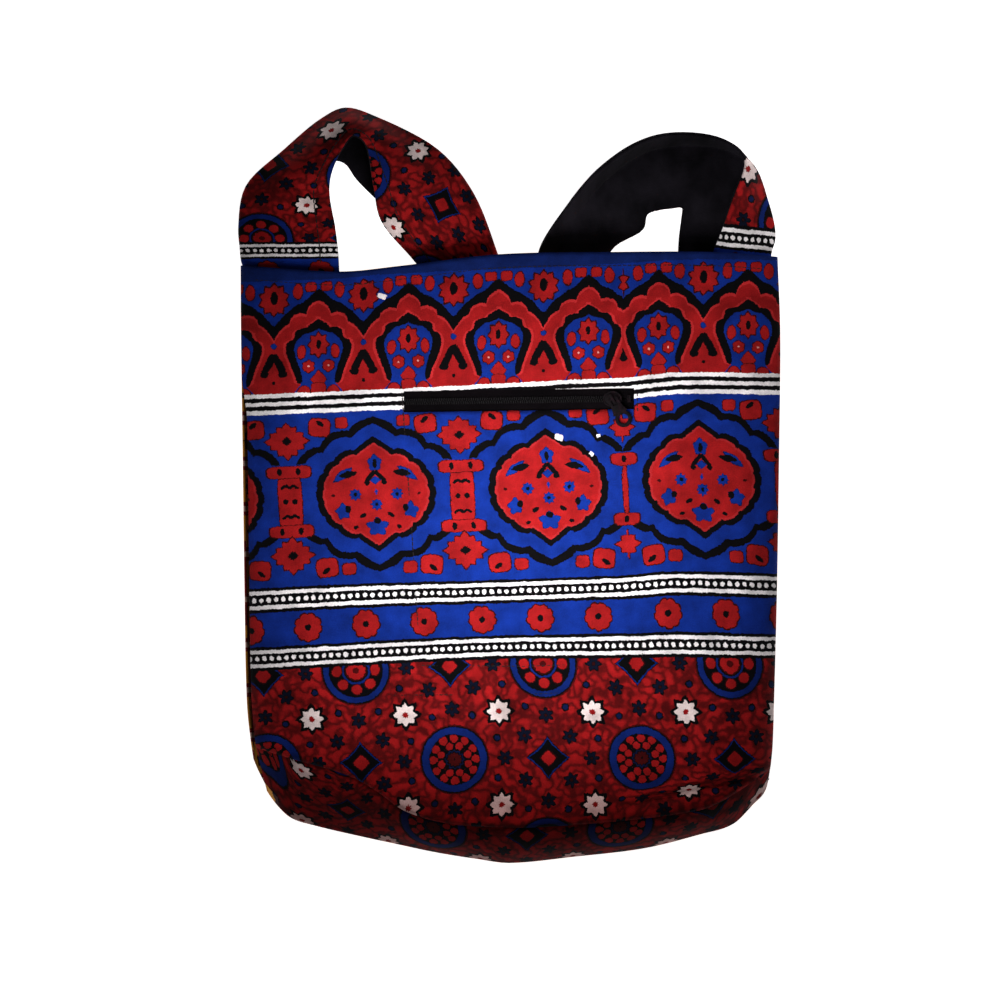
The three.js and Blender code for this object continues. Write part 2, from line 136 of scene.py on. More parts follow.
def addNode(tree, kind, links=None, out=0, **settings):
    # adds one node; a link is a socket to join or a plain value to set
    node = tree.nodes.new("ShaderNode" + kind)
    for name, value in settings.items():
        setattr(node, name, value)
    for slot, source in (links or {}).items():
        if isinstance(source, bpy.types.NodeSocket):
            tree.links.new(source, node.inputs[slot])
        else:
            node.inputs[slot].default_value = source
    return node if out is None else node.outputs[out]


def workOut(tree, known, steps):
    # a sum written as rows: name, operation, terms; a term is a number or an earlier name
    for name, operation, *terms in steps:
        links = {k: known[t] if isinstance(t, str) else t for k, t in enumerate(terms)}
        known[name] = addNode(tree, "Math", links, operation=operation)
    return known


def coat(finish, links):
    # ends a finish with its surface
    shader = addNode(finish.node_tree, "BsdfPrincipled", links)
    addNode(finish.node_tree, "OutputMaterial", {0: shader}, out=None)
    return finish


# dyes of the block print
dyes = {
    "red": "#8F1416",
    "rose": "#AD2426",
    "bloom": "#991F22",
    "brick": "#961416",
    "madder": "#430709",
    "maroon": "#2A0507",
    "blue": "#0B2678",
    "deep": "#0B2064",
    "hem": "#0B1D54",
    "navy": "#0A153D",
    "indigo": "#080D20",
    "black": "#050406",
    "white": "#ECE5E6",
    "blush": "#EAD5D2",
    "pink": "#C98680",
}
inkEdge = 0.9  # a motif ends at this share of its chart, so the ramp can close after it
noInk = dye("#000000", 0.0)


def overprint(tree, ground, ink, mask=1.0, blend="MIX"):
    return addNode(tree, "Mix", {0: mask, 6: ground, 7: ink}, out=2, data_type="RGBA", blend_type=blend)


def printBands(tree, ground, value, stops, inks):
    # bands of flat dye along a value: the first ink ends at the first stop, where the second one starts
    ramp = addNode(tree, "ValToRGB", {0: value}, out=None)
    ramp.color_ramp.interpolation = "CONSTANT"
    first, second = ramp.color_ramp.elements
    first.color = inks[0]
    second.position = stops[0]
    second.color = inks[1]
    for stop, ink in zip(stops[1:], inks[2:]):
        ramp.color_ramp.elements.new(stop).color = ink
    return overprint(tree, ground, ramp.outputs[0], ramp.outputs[1])


def printRings(tree, ground, distance, layers):
    # rings of dye from the middle outwards; past the last one the cloth shows
    stops = [end * inkEdge for end, _ in layers]
    return printBands(tree, ground, distance, stops, [dye(dyes[name]) for _, name in layers] + [noInk])


def motif(on, at, size, inks, shape="oval", **more):
    # a row of a chart: the repeat it sits in, its place and size in millimetres, its dyes and its outline
    return {"on": on, "at": at, "size": size, "inks": inks, "shape": shape, **more}


def edged(share, ink, line):
    # one dye, with a darker line round it
    return [(share, ink), (1, line)]


allBlack = [(1, "black")]


def stampMotif(tree, ground, place, row):
    size = [s / inkEdge for s in row["size"]]
    spot = addNode(tree, "Mapping", {
        0: place, 1: (*row["at"], 0), 2: (0, 0, math.radians(row.get("turn", 0))), 3: (*size, 1),
    }, vector_type="TEXTURE")
    if row["shape"] == "block":
        squared = addNode(tree, "VectorMath", {0: spot, 1: spot}, operation="MULTIPLY")
        fourth = addNode(tree, "VectorMath", {0: squared, 1: squared}, out=1, operation="DOT_PRODUCT")
        distance = addNode(tree, "Math", {0: fourth, 1: 0.25}, operation="POWER")
        return printRings(tree, ground, distance, row["inks"])
    reach = addNode(tree, "VectorMath", {0: spot}, out=1, operation="LENGTH")
    if row["shape"] == "oval":
        return printRings(tree, ground, reach, row["inks"])
    part = addNode(tree, "SeparateXYZ", {0: spot}, out=None)
    known = {"x": part.outputs[0], "y": part.outputs[1], "reach": reach}
    if row["shape"] == "lozenge":
        steps = [
            ("left", "ABSOLUTE", "x"), ("up", "ABSOLUTE", "y"),
            ("left", "POWER", "left", row["hollow"]), ("up", "POWER", "up", row["hollow"]),
            ("sum", "ADD", "left", "up"), ("distance", "POWER", "sum", 1 / row["hollow"]),
        ]
    else:
        step = math.pi / row["count"]
        steps = [
            ("angle", "ARCTAN2", "x", "y"), ("fold", "PINGPONG", "angle", step),
            ("fold", "DIVIDE", "fold", step), ("fold", "POWER", "fold", row.get("round", 1)),
            ("limit", "MULTIPLY_ADD", "fold", -row["depth"], 1),
        ]
        if "teeth" in row:
            # a second, finer run of points along the edge
            count, depth = row["teeth"]
            step = math.pi / count
            steps += [
                ("fine", "PINGPONG", "angle", step),
                ("limit", "MULTIPLY_ADD", "fine", -depth / step, "limit"),
            ]
        steps.append(("distance", "DIVIDE", "reach", "limit"))
    return printRings(tree, ground, workOut(tree, known, steps)["distance"], row["inks"])


def stampAll(tree, ground, places, chart):
    for row in chart:
        ground = stampMotif(tree, ground, places[row["on"]], row)
    return ground


def charted(tree, value, rows):
    # a charted outline: rows of (at, reach), read as straight runs between the points
    low, high = rows[0][0], rows[-1][0]
    most = max(row[1] for row in rows)
    share = addNode(tree, "MapRange", {0: value, 1: low, 2: high, 3: 0.0, 4: 1.0})
    curve = addNode(tree, "FloatCurve", {1: share}, out=None)
    points = curve.mapping.curves[0].points
    points[0].location = (0, rows[0][1] / most)
    points[1].location = (1, rows[-1][1] / most)
    for at, reach in rows[1:-1]:
        points.new((at - low) / (high - low), reach / most)
    for point in points:
        point.handle_type = "VECTOR"
    curve.mapping.update()
    return addNode(tree, "Math", {0: curve.outputs[0], 1: most}, operation="MULTIPLY")


def repeatAcross(tree, cloth, plan):
    # folds the cloth across into one repeat; at the joint between two blocks a strip of the repeat is lost
    part = addNode(tree, "SeparateXYZ", {0: cloth}, out=None)
    half = plan["pitch"] / 2
    return workOut(tree, {"u": part.outputs[0], "v": part.outputs[1]}, [
        ("past", "GREATER_THAN", "u", plan["joint"]), ("run", "MULTIPLY_ADD", "past", plan["lost"], "u"),
        ("run", "SUBTRACT", "run", plan["start"]), ("run", "WRAP", "run", half, -half),
        ("out", "ABSOLUTE", "run"), ("between", "SUBTRACT", half, "out"),
    ])


def spinAround(tree, place, centre, count):
    # folds the cloth round a centre into one of count equal sectors
    local = addNode(tree, "VectorMath", {0: place, 1: (*centre, 0)}, operation="SUBTRACT")
    part = addNode(tree, "SeparateXYZ", {0: local}, out=None)
    known = workOut(tree, {
        "x": part.outputs[0], "y": part.outputs[1],
        "reach": addNode(tree, "VectorMath", {0: local}, out=1, operation="LENGTH"),
    }, [
        ("angle", "ARCTAN2", "x", "y"), ("angle", "WRAP", "angle", math.pi / count, -math.pi / count),
        ("turn", "COSINE", "angle"), ("side", "SINE", "angle"),
        ("turn", "MULTIPLY", "turn", "reach"), ("side", "MULTIPLY", "side", "reach"),
    ])
    return addNode(tree, "CombineXYZ", {0: known["side"], 1: known["turn"]})


# Stripes that run across the cloth, by distance below the mouth edge: where each band ends, and its dye
stripes = {
    "groups": [
        [(85.0, None), (87.6, "white"), (90.5, "black"), (93.1, "white"), (96.0, "black"), (98.8, "white")],
        [(214.2, None), (216.2, "black"), (218.6, "white"), (225.1, "black"), (227.5, "white"),
         (229.6, "black")],
        [(250.8, None), (252.8, "black"), (255.2, "white"), (261.7, "black"), (264.1, "white"),
         (266.2, "black")],
    ],
    "lead": 4.0,
    "dots": {"pitch": 4.9, "radius": 1.5, "rows": [221.85, 258.45]},
}


def paintStripes(tree, ground, cloth, groups):
    part = addNode(tree, "SeparateXYZ", {0: cloth}, out=None)
    for lines in groups:
        start, end = lines[0][0] - stripes["lead"], lines[-1][0] + stripes["lead"]
        share = addNode(tree, "MapRange", {0: part.outputs[1], 1: start, 2: end, 3: 0.0, 4: 1.0})
        stops = [(at - start) / (end - start) for at, _ in lines]
        inks = [dye(dyes[name]) if name else noInk for _, name in lines] + [noInk]
        ground = printBands(tree, ground, share, stops, inks)
    dots = stripes["dots"]
    half = dots["pitch"] / 2
    run = workOut(tree, {"u": part.outputs[0]}, [("run", "WRAP", "u", half, -half)])["run"]
    place = addNode(tree, "CombineXYZ", {0: run, 1: part.outputs[1]})
    for row in dots["rows"]:
        dot = motif("stripe", (0, row), (dots["radius"], dots["radius"]), [(1, "white")])
        ground = stampMotif(tree, ground, place, dot)
    return ground


# Arch band: onion niches with a flowering tree in each, red vases between them, a flower in each spandrel
arches = {
    "start": -3.7, "pitch": 59.3, "joint": 78.1, "lost": 13.1, "hem": 9.4, "nicheFrom": 34.0, "end": 92,
    # upper edges of the black and the red arch, by distance from the arch's axis
    "blackTop": [
        (0, 15.4), (3.8, 18.4), (7.1, 21.6), (10.4, 24.0), (14, 25.3), (16.5, 26.9), (19.3, 29.4),
        (22.2, 31.1), (25.5, 34.9), (28.3, 38.2), (30, 39.4),
    ],
    "redTop": [
        (0, 23.1), (3.3, 24.6), (6.1, 27.0), (7.5, 29.7), (8.0, 32.2), (10.4, 31.5), (12.6, 31.3), (16, 32.5),
        (18.4, 34.7), (19.3, 38.0), (21.2, 38.8), (23.2, 40.2), (25.5, 42.6), (27.8, 46.0), (30, 49.6),
    ],
    # half widths of the niche's black line and of its blue ground, by distance below the mouth edge
    "nicheOuter": [
        (35.4, 0), (37.2, 3.1), (39.0, 5.9), (40.9, 7.4), (41.0, 10.4), (41.8, 13.2), (43.4, 15.3),
        (46.7, 16.0), (48.8, 17.2), (49.4, 19.4), (50.9, 20.9), (54.2, 21.8), (58, 21.5), (61.8, 20.3),
        (66.5, 18.4), (71.2, 16.5), (75, 15.1), (78.3, 14.3), (79.4, 12.6), (79.6, 0), (92, 0),
    ],
    "nicheInner": [
        (41.9, 0), (43.2, 2.9), (44.2, 5.7), (44.8, 9.0), (47.1, 11.6), (49.5, 14.2), (52.3, 15.7),
        (55.2, 16.0), (58.5, 15.6), (62.7, 14.3), (67.4, 12.7), (72.1, 11.3), (75.9, 10.7), (79, 11.3),
        (82, 13.6), (85.5, 16.6), (92, 17),
    ],
    "chart": [
        motif("niche", (0, 52.8), (8.0, 9.8), [(0.42, "brick"), (0.87, "red"), (1, "maroon")], "petals",
              count=8, depth=0.26, round=0.8),
        motif("niche", (0, 52.4), (1.6, 3.0), allBlack),
        motif("niche", (11.1, 57.5), (3.2, 5.2), edged(0.86, "brick", "maroon"), turn=-6),
        motif("niche", (6.5, 67.3), (4.6, 4.7), [(0.16, "pink"), (0.86, "red"), (1, "maroon")], "petals",
              count=6, depth=0.14, round=1.6),
        motif("niche", (0, 76.4), (5.6, 6.6), edged(0.9, "red", "maroon"), "lozenge", hollow=1.1),
        motif("niche", (9.6, 84.8), (4.7, 4.6), edged(0.88, "red", "maroon")),
        motif("niche", (0, 83.0), (5.0, 4.4), edged(0.92, "red", "maroon"), "block"),
        motif("vase", (0, 52.8), (2.1, 2.1), edged(0.8, "blue", "navy")),
        motif("vase", (3.3, 65.2), (2.5, 7.8), allBlack, "block", turn=-28),
        motif("vase", (6.2, 71.9), (3.0, 2.4), allBlack),
        motif("vase", (0, 78), (1.2, 1.2), allBlack),
        motif("vase", (0, 22.0), (11.2, 11.8), [(0.46, "brick"), (0.88, "red"), (1, "maroon")], "petals",
              count=10, depth=0.24, round=0.9),
        motif("vase", (0, 21.0), (2.6, 4.3), allBlack),
        motif("vase", (15.9, 16.8), (3.6, 5.6), edged(0.86, "brick", "maroon")),
        motif("niche", (5.2, 14.1), (4.1, 3.5), edged(0.86, "brick", "maroon"), "block"),
        # a worn spot, where the dye is gone
        motif("cloth", (-80.6, 23.6), (3.0, 1.6), edged(0.8, "white", "blush"), "block", turn=20),
    ],
}


def paintArches(tree, cloth, ground):
    known = repeatAcross(tree, cloth, arches)
    # the red arch is brighter along its edges, where the resist held the dye
    for name, ink, inset in (("blackTop", "black", 0), ("redTop", "rose", 0), ("redTop", "red", 1.9)):
        known["edge"] = charted(tree, known["out"], arches[name])
        workOut(tree, known, [("edge", "ADD", "edge", inset), ("inside", "GREATER_THAN", "v", "edge")])
        ground = overprint(tree, ground, dye(dyes[ink]), known["inside"])
    workOut(tree, known, [("low", "GREATER_THAN", "v", arches["nicheFrom"])])
    niche = (("nicheOuter", "rose", 1.7), ("nicheOuter", "black", 0), ("nicheInner", "blue", 0))
    for name, ink, outset in niche:
        known["edge"] = charted(tree, known["v"], arches[name])
        workOut(tree, known, [
            ("edge", "ADD", "edge", outset), ("inside", "LESS_THAN", "out", "edge"),
            ("inside", "MULTIPLY", "inside", "low"),
        ])
        ground = overprint(tree, ground, dye(dyes[ink]), known["inside"])
    places = {
        "niche": addNode(tree, "CombineXYZ", {0: known["out"], 1: known["v"]}),
        "vase": addNode(tree, "CombineXYZ", {0: known["between"], 1: known["v"]}),
        "cloth": cloth,
    }
    ground = stampAll(tree, ground, places, arches["chart"])
    workOut(tree, known, [("hem", "LESS_THAN", "v", arches["hem"])])
    ground = overprint(tree, ground, dye(dyes["hem"]), known["hem"])
    return paintStripes(tree, ground, cloth, stripes["groups"][:1])


# Medallion band: lobed medallions in a scalloped frame, with pillars, flowers and leaves between them
medallions = {
    "start": 26.0, "pitch": 113.5, "joint": 75.9, "lost": 12.3, "middle": 154.6, "end": 222,
    # the scalloped frame's two edges, away from the middle line, by distance from the medallion's axis
    "frameOuter": [
        (0, 52.0), (5, 50.4), (9.1, 48.8), (12.9, 46.6), (15.9, 43.0), (19.7, 43.4), (25.4, 42.3),
        (30.2, 39.9), (33.2, 36.6), (35.3, 32.6), (39.1, 32.9), (43.9, 30.5), (47.3, 27.7), (50.3, 23.9),
        (51.6, 21.0), (57, 20.0),
    ],
    "frameInner": [
        (0, 47.4), (4.6, 45.0), (9.4, 42.2), (14.2, 38.2), (19, 38.7), (24.7, 37.6), (28.6, 35.2),
        (31.6, 31.4), (33.4, 28.2), (36.4, 28.8), (40.3, 26.7), (43.7, 24.4), (45.7, 21.4), (57, 20.6),
    ],
    # radius of the lobed medallion by the angle from its upright axis, in degrees, and its rings of dye
    "lobes": [
        (0, 34.5), (6, 32.3), (12, 30.6), (19, 29.1), (24, 28.4), (27, 29.8), (33, 31.0), (40, 31.6),
        (46, 31.6), (49, 30.8), (52, 32.2), (58, 33.3), (63, 33.7), (66, 32.9), (69, 34.2), (75, 34.9),
        (80, 35.0), (83, 34.2), (87, 35.1), (90, 35.2),
    ],
    "outline": 1.125, "rings": [(0.85, "red"), (0.889, "bloom"), (1, "black")],
    "chart": [
        motif("heart", (0, -20.8), (5.2, 6.2), edged(0.9, "blue", "navy"), "petals",
              count=5, depth=0.25, turn=180),
        motif("heart", (0, -20.4), (1.5, 3.2), allBlack),
        motif("heart", (21.4, -13.2), (8.2, 2.9), edged(0.86, "blue", "navy"), "lozenge",
              hollow=1.35, turn=36),
        motif("heart", (17.8, -13.6), (6.4, 2.3), allBlack, "lozenge", hollow=1.35, turn=10),
        motif("heart", (3.2, -11.6), (1.45, 5.0), allBlack, "block", turn=-40),
        motif("heart", (5.6, -7.4), (1.9, 1.7), allBlack),
        motif("heart", (0, -9.0), (3.9, 3.2), edged(0.85, "blue", "navy"), "lozenge", hollow=1.0),
        motif("heart", (0, -1.4), (1.2, 2.4), [(1, "blue")], "lozenge", hollow=0.9),
        *(motif("heart", at, (4.3, 4.3), [(0.34, "black"), (0.9, "blue"), (1, "navy")], "petals",
                count=8, depth=0.3) for at in ((13.8, 0.4), (0, 7.2))),
        motif("heart", (22.2, 11.4), (5.6, 6.2), edged(0.9, "blue", "navy"), "petals",
              count=5, depth=0.34, turn=-28),
        motif("heart", (19.0, 10.0), (2.0, 2.3), allBlack),
        motif("heart", (9.2, 14.4), (2.5, 1.4), allBlack, turn=32),
        motif("heart", (14.2, 22.4), (1.7, 1.2), allBlack, turn=20),
        motif("heart", (28.4, 0.4), (1.3, 1.0), [(1, "maroon")]),
        motif("heart", (0, 22.0), (8.0, 6.8), edged(0.92, "blue", "navy"), "petals",
              count=5, depth=0.36, turn=180),
        motif("heart", (0, 18.0), (2.4, 2.1), allBlack),
        motif("pillar", (0, 3.4), (8.3, 21.0), edged(0.93, "red", "maroon"), "block"),
        *(motif("pillar", (5, up), (10.4, 4.3), edged(0.9, "red", "maroon"), "block")
          for up in (-16.4, 23.2)),
        *(motif("pillar", (6.2, up), (1.6, 2.4), allBlack) for up in (-16.6, 23.2)),
        *(motif("pillar", (x, up + rise), (half, 0.95), allBlack, "block", turn=turn) for up in (-6.6, 13.4)
          for x, rise, half, turn in ((1.3, 0, 1.8, -34), (4.1, 0.2, 2.0, 34))),
        motif("pillar", (3.0, 3.4), (1.8, 1.8), allBlack),
        *(motif("pillar", (0, up), (15.6, 13.4), [(0.24, "black"), (0.92, "red"), (1, "maroon")], "petals",
                count=4, depth=0.2, round=0.8, teeth=(12, 0.17)) for up in (-37.2, 39.4)),
        motif("pillar", (21.8, -45.6), (7.6, 6.6), edged(0.9, "red", "maroon"), "block", turn=6),
        motif("pillar", (22.4, -48.4), (3.0, 1.5), allBlack, turn=40),
        motif("pillar", (36.4, -48.4), (4.6, 3.9), edged(0.88, "red", "maroon"), "block"),
        motif("pillar", (22.4, 48.2), (7.7, 6.8), edged(0.9, "red", "maroon"), "block", turn=-6),
        motif("pillar", (21.4, 50.4), (3.0, 1.5), allBlack, turn=-40),
        motif("pillar", (36.6, 49.6), (4.9, 4.2), edged(0.88, "red", "maroon"), "block"),
        # worn spots, where the dye is gone
        motif("cloth", (35, 122.4), (2.6, 2.0), edged(0.8, "white", "blush"), "block", turn=24),
        motif("cloth", (60.8, 122.2), (1.3, 1.0), [(1, "white")], "block", turn=-15),
        motif("cloth", (55.6, 133.7), (1.7, 1.2), [(1, "white")], "block", turn=40),
    ],
}


def paintMedallions(tree, cloth, ground):
    plan = medallions
    known = repeatAcross(tree, cloth, plan)
    workOut(tree, known, [("rise", "SUBTRACT", "v", plan["middle"]), ("away", "ABSOLUTE", "rise")])
    for name in ("frameOuter", "frameInner"):
        known[name] = charted(tree, known["out"], plan[name])
    workOut(tree, known, [
        ("under", "LESS_THAN", "away", "frameOuter"), ("over", "GREATER_THAN", "away", "frameInner"),
        ("line", "MULTIPLY", "under", "over"),
    ])
    ground = overprint(tree, ground, dye(dyes["black"]), known["line"])
    workOut(tree, known, [("angle", "ARCTAN2", "out", "away"), ("angle", "DEGREES", "angle")])
    known["lobe"] = charted(tree, known["angle"], plan["lobes"])
    place = addNode(tree, "CombineXYZ", {0: known["out"], 1: known["rise"]})
    known["reach"] = addNode(tree, "VectorMath", {0: place}, out=1, operation="LENGTH")
    workOut(tree, known, [
        ("reach", "DIVIDE", "reach", "lobe"), ("reach", "MULTIPLY", "reach", inkEdge / plan["outline"]),
    ])
    ground = printRings(tree, ground, known["reach"], plan["rings"])
    places = {
        "heart": place,
        "pillar": addNode(tree, "CombineXYZ", {0: known["between"], 1: known["rise"]}),
        "cloth": cloth,
    }
    ground = stampAll(tree, ground, places, plan["chart"])
    return paintStripes(tree, ground, cloth, stripes["groups"][:2])


# Rosette stripe between the two dotted bands
rosettes = {"start": 16.2, "pitch": 38.2, "joint": 81, "lost": -7.7, "end": 252.0}
rosettes["motif"] = motif("stripe", (0, 240.0), (9.7, 9.7), [(0.22, "black"), (0.9, "red"), (1, "maroon")],
                          "petals", count=9, depth=0.12, round=2)


def paintRosettes(tree, cloth, ground):
    known = repeatAcross(tree, cloth, rosettes)
    workOut(tree, known, [("above", "LESS_THAN", "v", rosettes["end"])])
    ground = overprint(tree, ground, dye(dyes["blue"]), known["above"])
    place = addNode(tree, "CombineXYZ", {0: known["run"], 1: known["v"]})
    return stampMotif(tree, ground, place, rosettes["motif"])


# Lower field: rings, hollow lozenges and eight-pointed stars on a square lattice, small flowers and dots
fieldPitch = 61.5
field = {
    "ring": (16.2, 269.6),
    # darker scrolls with soft edges wind over the ground
    "scroll": {"scale": 0.125, "reach": 0.17, "depth": 0.86},
    "chart": [
        motif("cell", (0, 0), (23.0, 23.0), [
            (0.3, "madder"), (0.34, "black"), (0.4, "deep"), (0.77, "black"), (0.925, "deep"),
            (0.965, "black"), (1, "madder")]),
        motif("ringOne", (0, 12.6), (4.1, 3.8), edged(0.84, "brick", "maroon")),
        motif("cell", (0, 0), (7.2, 7.2), [(0.3, "madder"), (0.88, "brick"), (1, "maroon")], "petals",
              count=9, depth=0.12, round=2),
        motif("cell", (fieldPitch, fieldPitch), (22.8, 22.8), [
            (0.73, "black"), (0.925, "deep"), (0.965, "black"), (1, "madder")]),
        motif("ringTwo", (0, 13.9), (3.4, 3.3), edged(0.84, "brick", "black"), "petals",
              count=3, depth=0.2, round=2, turn=180),
        motif("ringTwoIn", (0, 9.3), (3.0, 3.0), edged(0.82, "brick", "black")),
        motif("cell", (fieldPitch, fieldPitch), (6.6, 6.6), [
            (0.12, "black"), (0.72, "madder"), (0.86, "black"), (1, "navy")], "petals", count=12, depth=0.2),
        motif("cell", (fieldPitch, 0), (14.8, 14.8), [(0.86, "black"), (0.95, "deep"), (1, "black")],
              "lozenge", hollow=0.86),
        motif("cell", (fieldPitch, 0), (5.8, 5.8), edged(0.86, "brick", "maroon"), "lozenge", hollow=1.25),
        motif("cell", (fieldPitch / 2, fieldPitch / 2), (11.0, 11.0), [
            (0.2, "red"), (0.72, "blush"), (1, "black")], "petals", count=8, depth=0.32),
        *(motif("cell", at, (5.6, 5.6), [(0.2, "maroon"), (0.3, "black"), (0.8, "indigo"), (1, "black")],
                "petals", count=6, depth=0.45, round=1.3, turn=turn)
          for at, turn in (((46.9, 15.0), 20), ((33.2, 0), 90), ((fieldPitch, 28.3), 0))),
        *(motif("cell", at, (2.6, 2.6), edged(0.66, "navy", "black"))
          for at in ((27.7, 13.2), (48.3, 33.2))),
    ],
}


def paintField(tree, cloth, ground):
    scroll = field["scroll"]
    winding = addNode(tree, "TexNoise", {
        "Vector": cloth, "Scale": scroll["scale"], "Detail": 1.0, "Roughness": 0.4,
    })
    known = workOut(tree, {"noise": winding}, [("off", "SUBTRACT", "noise", 0.5), ("off", "ABSOLUTE", "off")])
    tone = addNode(tree, "MapRange", {
        0: known["off"], 1: 0.0, 2: scroll["reach"], 3: scroll["depth"], 4: 0.0,
    }, interpolation_type="SMOOTHSTEP")
    ground = overprint(tree, ground, dye(dyes["madder"]), tone)
    spot = addNode(tree, "VectorMath", {0: cloth, 1: (*field["ring"], 0)}, operation="SUBTRACT")
    most, least = (fieldPitch, fieldPitch, 1), (-fieldPitch, -fieldPitch, -1)
    spot = addNode(tree, "VectorMath", {0: spot, 1: most, 2: least}, operation="WRAP")
    spot = addNode(tree, "VectorMath", {0: spot}, operation="ABSOLUTE")
    part = addNode(tree, "SeparateXYZ", {0: spot}, out=None)
    known = workOut(tree, {"x": part.outputs[0], "y": part.outputs[1]}, [
        ("long", "MAXIMUM", "x", "y"), ("short", "MINIMUM", "x", "y"),
    ])
    cell = addNode(tree, "CombineXYZ", {0: known["long"], 1: known["short"]})
    far = (fieldPitch, fieldPitch)
    places = {
        "cell": cell,
        "ringOne": spinAround(tree, cell, (0, 0), 8),
        "ringTwo": spinAround(tree, cell, far, 12),
        "ringTwoIn": spinAround(tree, cell, far, 9),
    }
    ground = stampAll(tree, ground, places, field["chart"])
    ground = paintRosettes(tree, cloth, ground)
    return paintStripes(tree, ground, cloth, stripes["groups"][1:])


def weaveBump(tree, cloth, strength, depth, waver):
    # threads lie 0.45 mm apart in such cloth, drawn at 0.9 mm so that they show
    warp, weft = (
        addNode(tree, "TexWave", {"Vector": cloth, "Scale": 0.349, **waver}, out=1, bands_direction=way)
        for way in "XY")
    weave = addNode(tree, "Math", {0: warp, 1: weft}, operation="MULTIPLY")
    return addNode(tree, "Bump", {"Strength": strength, "Distance": depth, "Height": weave})


def unevenDye(tree, cloth, scale, detail, rough, low, high):
    # a factor that the dye is multiplied by, in clouds or flecks
    patch = addNode(tree, "TexNoise", {"Vector": cloth, "Scale": scale, "Detail": detail, "Roughness": rough})
    return addNode(tree, "MapRange", {0: patch, 1: 0.3, 2: 0.7, 3: low, 4: high})


def printedCotton(name, paint, ground):
    # block-printed plain-weave cotton: matt, with soft sheen, uneven dye, a fine weave and painted shade
    # towards the base
    finish, tree = newFinish(name)
    cloth = addNode(tree, "UVMap", uv_map="cloth")
    # the block wobbles by about a third of a millimetre, and the ink bleeds as far along the threads
    printed = cloth
    for scale, shift in ((0.13, 1.3), (0.9, 1.5)):
        stray = addNode(tree, "TexNoise", {"Vector": cloth, "Scale": scale, "Detail": 1.0}, out=1)
        stray = addNode(tree, "VectorMath", {0: stray, 1: (0.5, 0.5, 0.5)}, operation="SUBTRACT")
        links = {0: stray, 1: (shift, shift, 0), 2: printed}
        printed = addNode(tree, "VectorMath", links, operation="MULTIPLY_ADD")
    colour = paint(tree, printed, dye(dyes[ground]))
    # dye takes unevenly, in clouds of 15 mm and flecks of half a millimetre
    for patch in ((0.065, 3.0, 0.6, 0.62, 1.16), (1.6, 2.0, 0.7, 0.74, 1.22)):
        colour = overprint(tree, colour, unevenDye(tree, cloth, *patch), blend="MULTIPLY")
    # painted shade towards the base: over 4 cm above it the print darkens, standing in for the shade on the
    # bag's lower curve
    spot = addNode(tree, "SeparateXYZ", {0: addNode(tree, "TexCoord", out=3)}, out=1)
    baseShade = addNode(tree, "MapRange", {0: spot, 1: -0.17, 2: -0.214, 3: 0.0, 4: 1.0})
    # the print is multiplied by this painted shade
    colour = overprint(tree, colour, dye("#C5A9A6"), baseShade, "MULTIPLY")
    return coat(finish, {
        "Base Color": colour, "Roughness": 0.88, "IOR": 1.5, "Specular IOR Level": 0.06,
        "Sheen Weight": 0.01, "Sheen Roughness": 0.4,
        "Normal": weaveBump(tree, cloth, 0.5, 0.00018, {"Distortion": 0.4, "Detail Scale": 0.3}),
    })


def plainCotton(name, colour, fade, shine):
    # plain woven cotton, soft and matt, faded in broad clouds
    finish, tree = newFinish(name)
    cloth = addNode(tree, "UVMap", uv_map="cloth")
    cloud = addNode(tree, "TexNoise", {"Vector": cloth, "Scale": 0.03, "Detail": 4.0, "Roughness": 0.6})
    cloud = addNode(tree, "MapRange", {0: cloud, 1: 0.35, 2: 0.7, 3: 0.0, 4: 1.0})
    return coat(finish, {
        "Base Color": overprint(tree, dye(colour), dye(fade), cloud), "Roughness": 0.9, "IOR": 1.5,
        "Specular IOR Level": shine, "Sheen Weight": 0.02, "Sheen Roughness": 0.4,
        "Normal": weaveBump(tree, cloth, 0.6, 0.0002, {"Distortion": 0.5}),
    })


# Print of the other side: orange blocks between maroon bars, each with a dark flower
backPrint = {
    "half": 15.0, "bar": 10.5, "seam": 13.2, "post": 12.5,
    "flower": motif("cell", (0, 0), (7.5, 7.5), [(0.3, "black"), (0.85, "madder"), (1, "maroon")], "petals",
                    count=8, depth=0.25),
}


def backCotton():
    # printed cotton of the other side: bright and matt, with uneven dye and a fine weave
    finish, tree = newFinish("orange_printed_cotton")
    cloth = addNode(tree, "UVMap", uv_map="cloth")
    part = addNode(tree, "SeparateXYZ", {0: cloth}, out=None)
    half = backPrint["half"]
    known = workOut(tree, {"u": part.outputs[0], "v": part.outputs[1]}, [
        ("up", "WRAP", "v", half, -half), ("up", "ABSOLUTE", "up"),
        ("bar", "GREATER_THAN", "up", backPrint["bar"]), ("seam", "GREATER_THAN", "up", backPrint["seam"]),
        ("run", "WRAP", "u", half, -half), ("run", "ABSOLUTE", "run"),
        ("post", "GREATER_THAN", "run", backPrint["post"]), ("bar", "MAXIMUM", "bar", "post"),
    ])
    colour = overprint(tree, dye("#F0A23C"), dye("#8E1F1C"), known["bar"])
    colour = overprint(tree, colour, dye("#E4BCAA"), known["seam"])
    cell = addNode(tree, "CombineXYZ", {0: known["run"], 1: known["up"]})
    colour = stampMotif(tree, colour, cell, backPrint["flower"])
    colour = overprint(tree, colour, unevenDye(tree, cloth, 0.1, 4.0, 0.65, 0.7, 1.1), blend="MULTIPLY")
    return coat(finish, {
        "Base Color": colour, "Roughness": 0.88, "IOR": 1.5, "Specular IOR Level": 0.25,
        "Sheen Weight": 0.1, "Sheen Roughness": 0.5,
        "Normal": weaveBump(tree, cloth, 0.6, 0.0002, {"Distortion": 0.5}),
    })


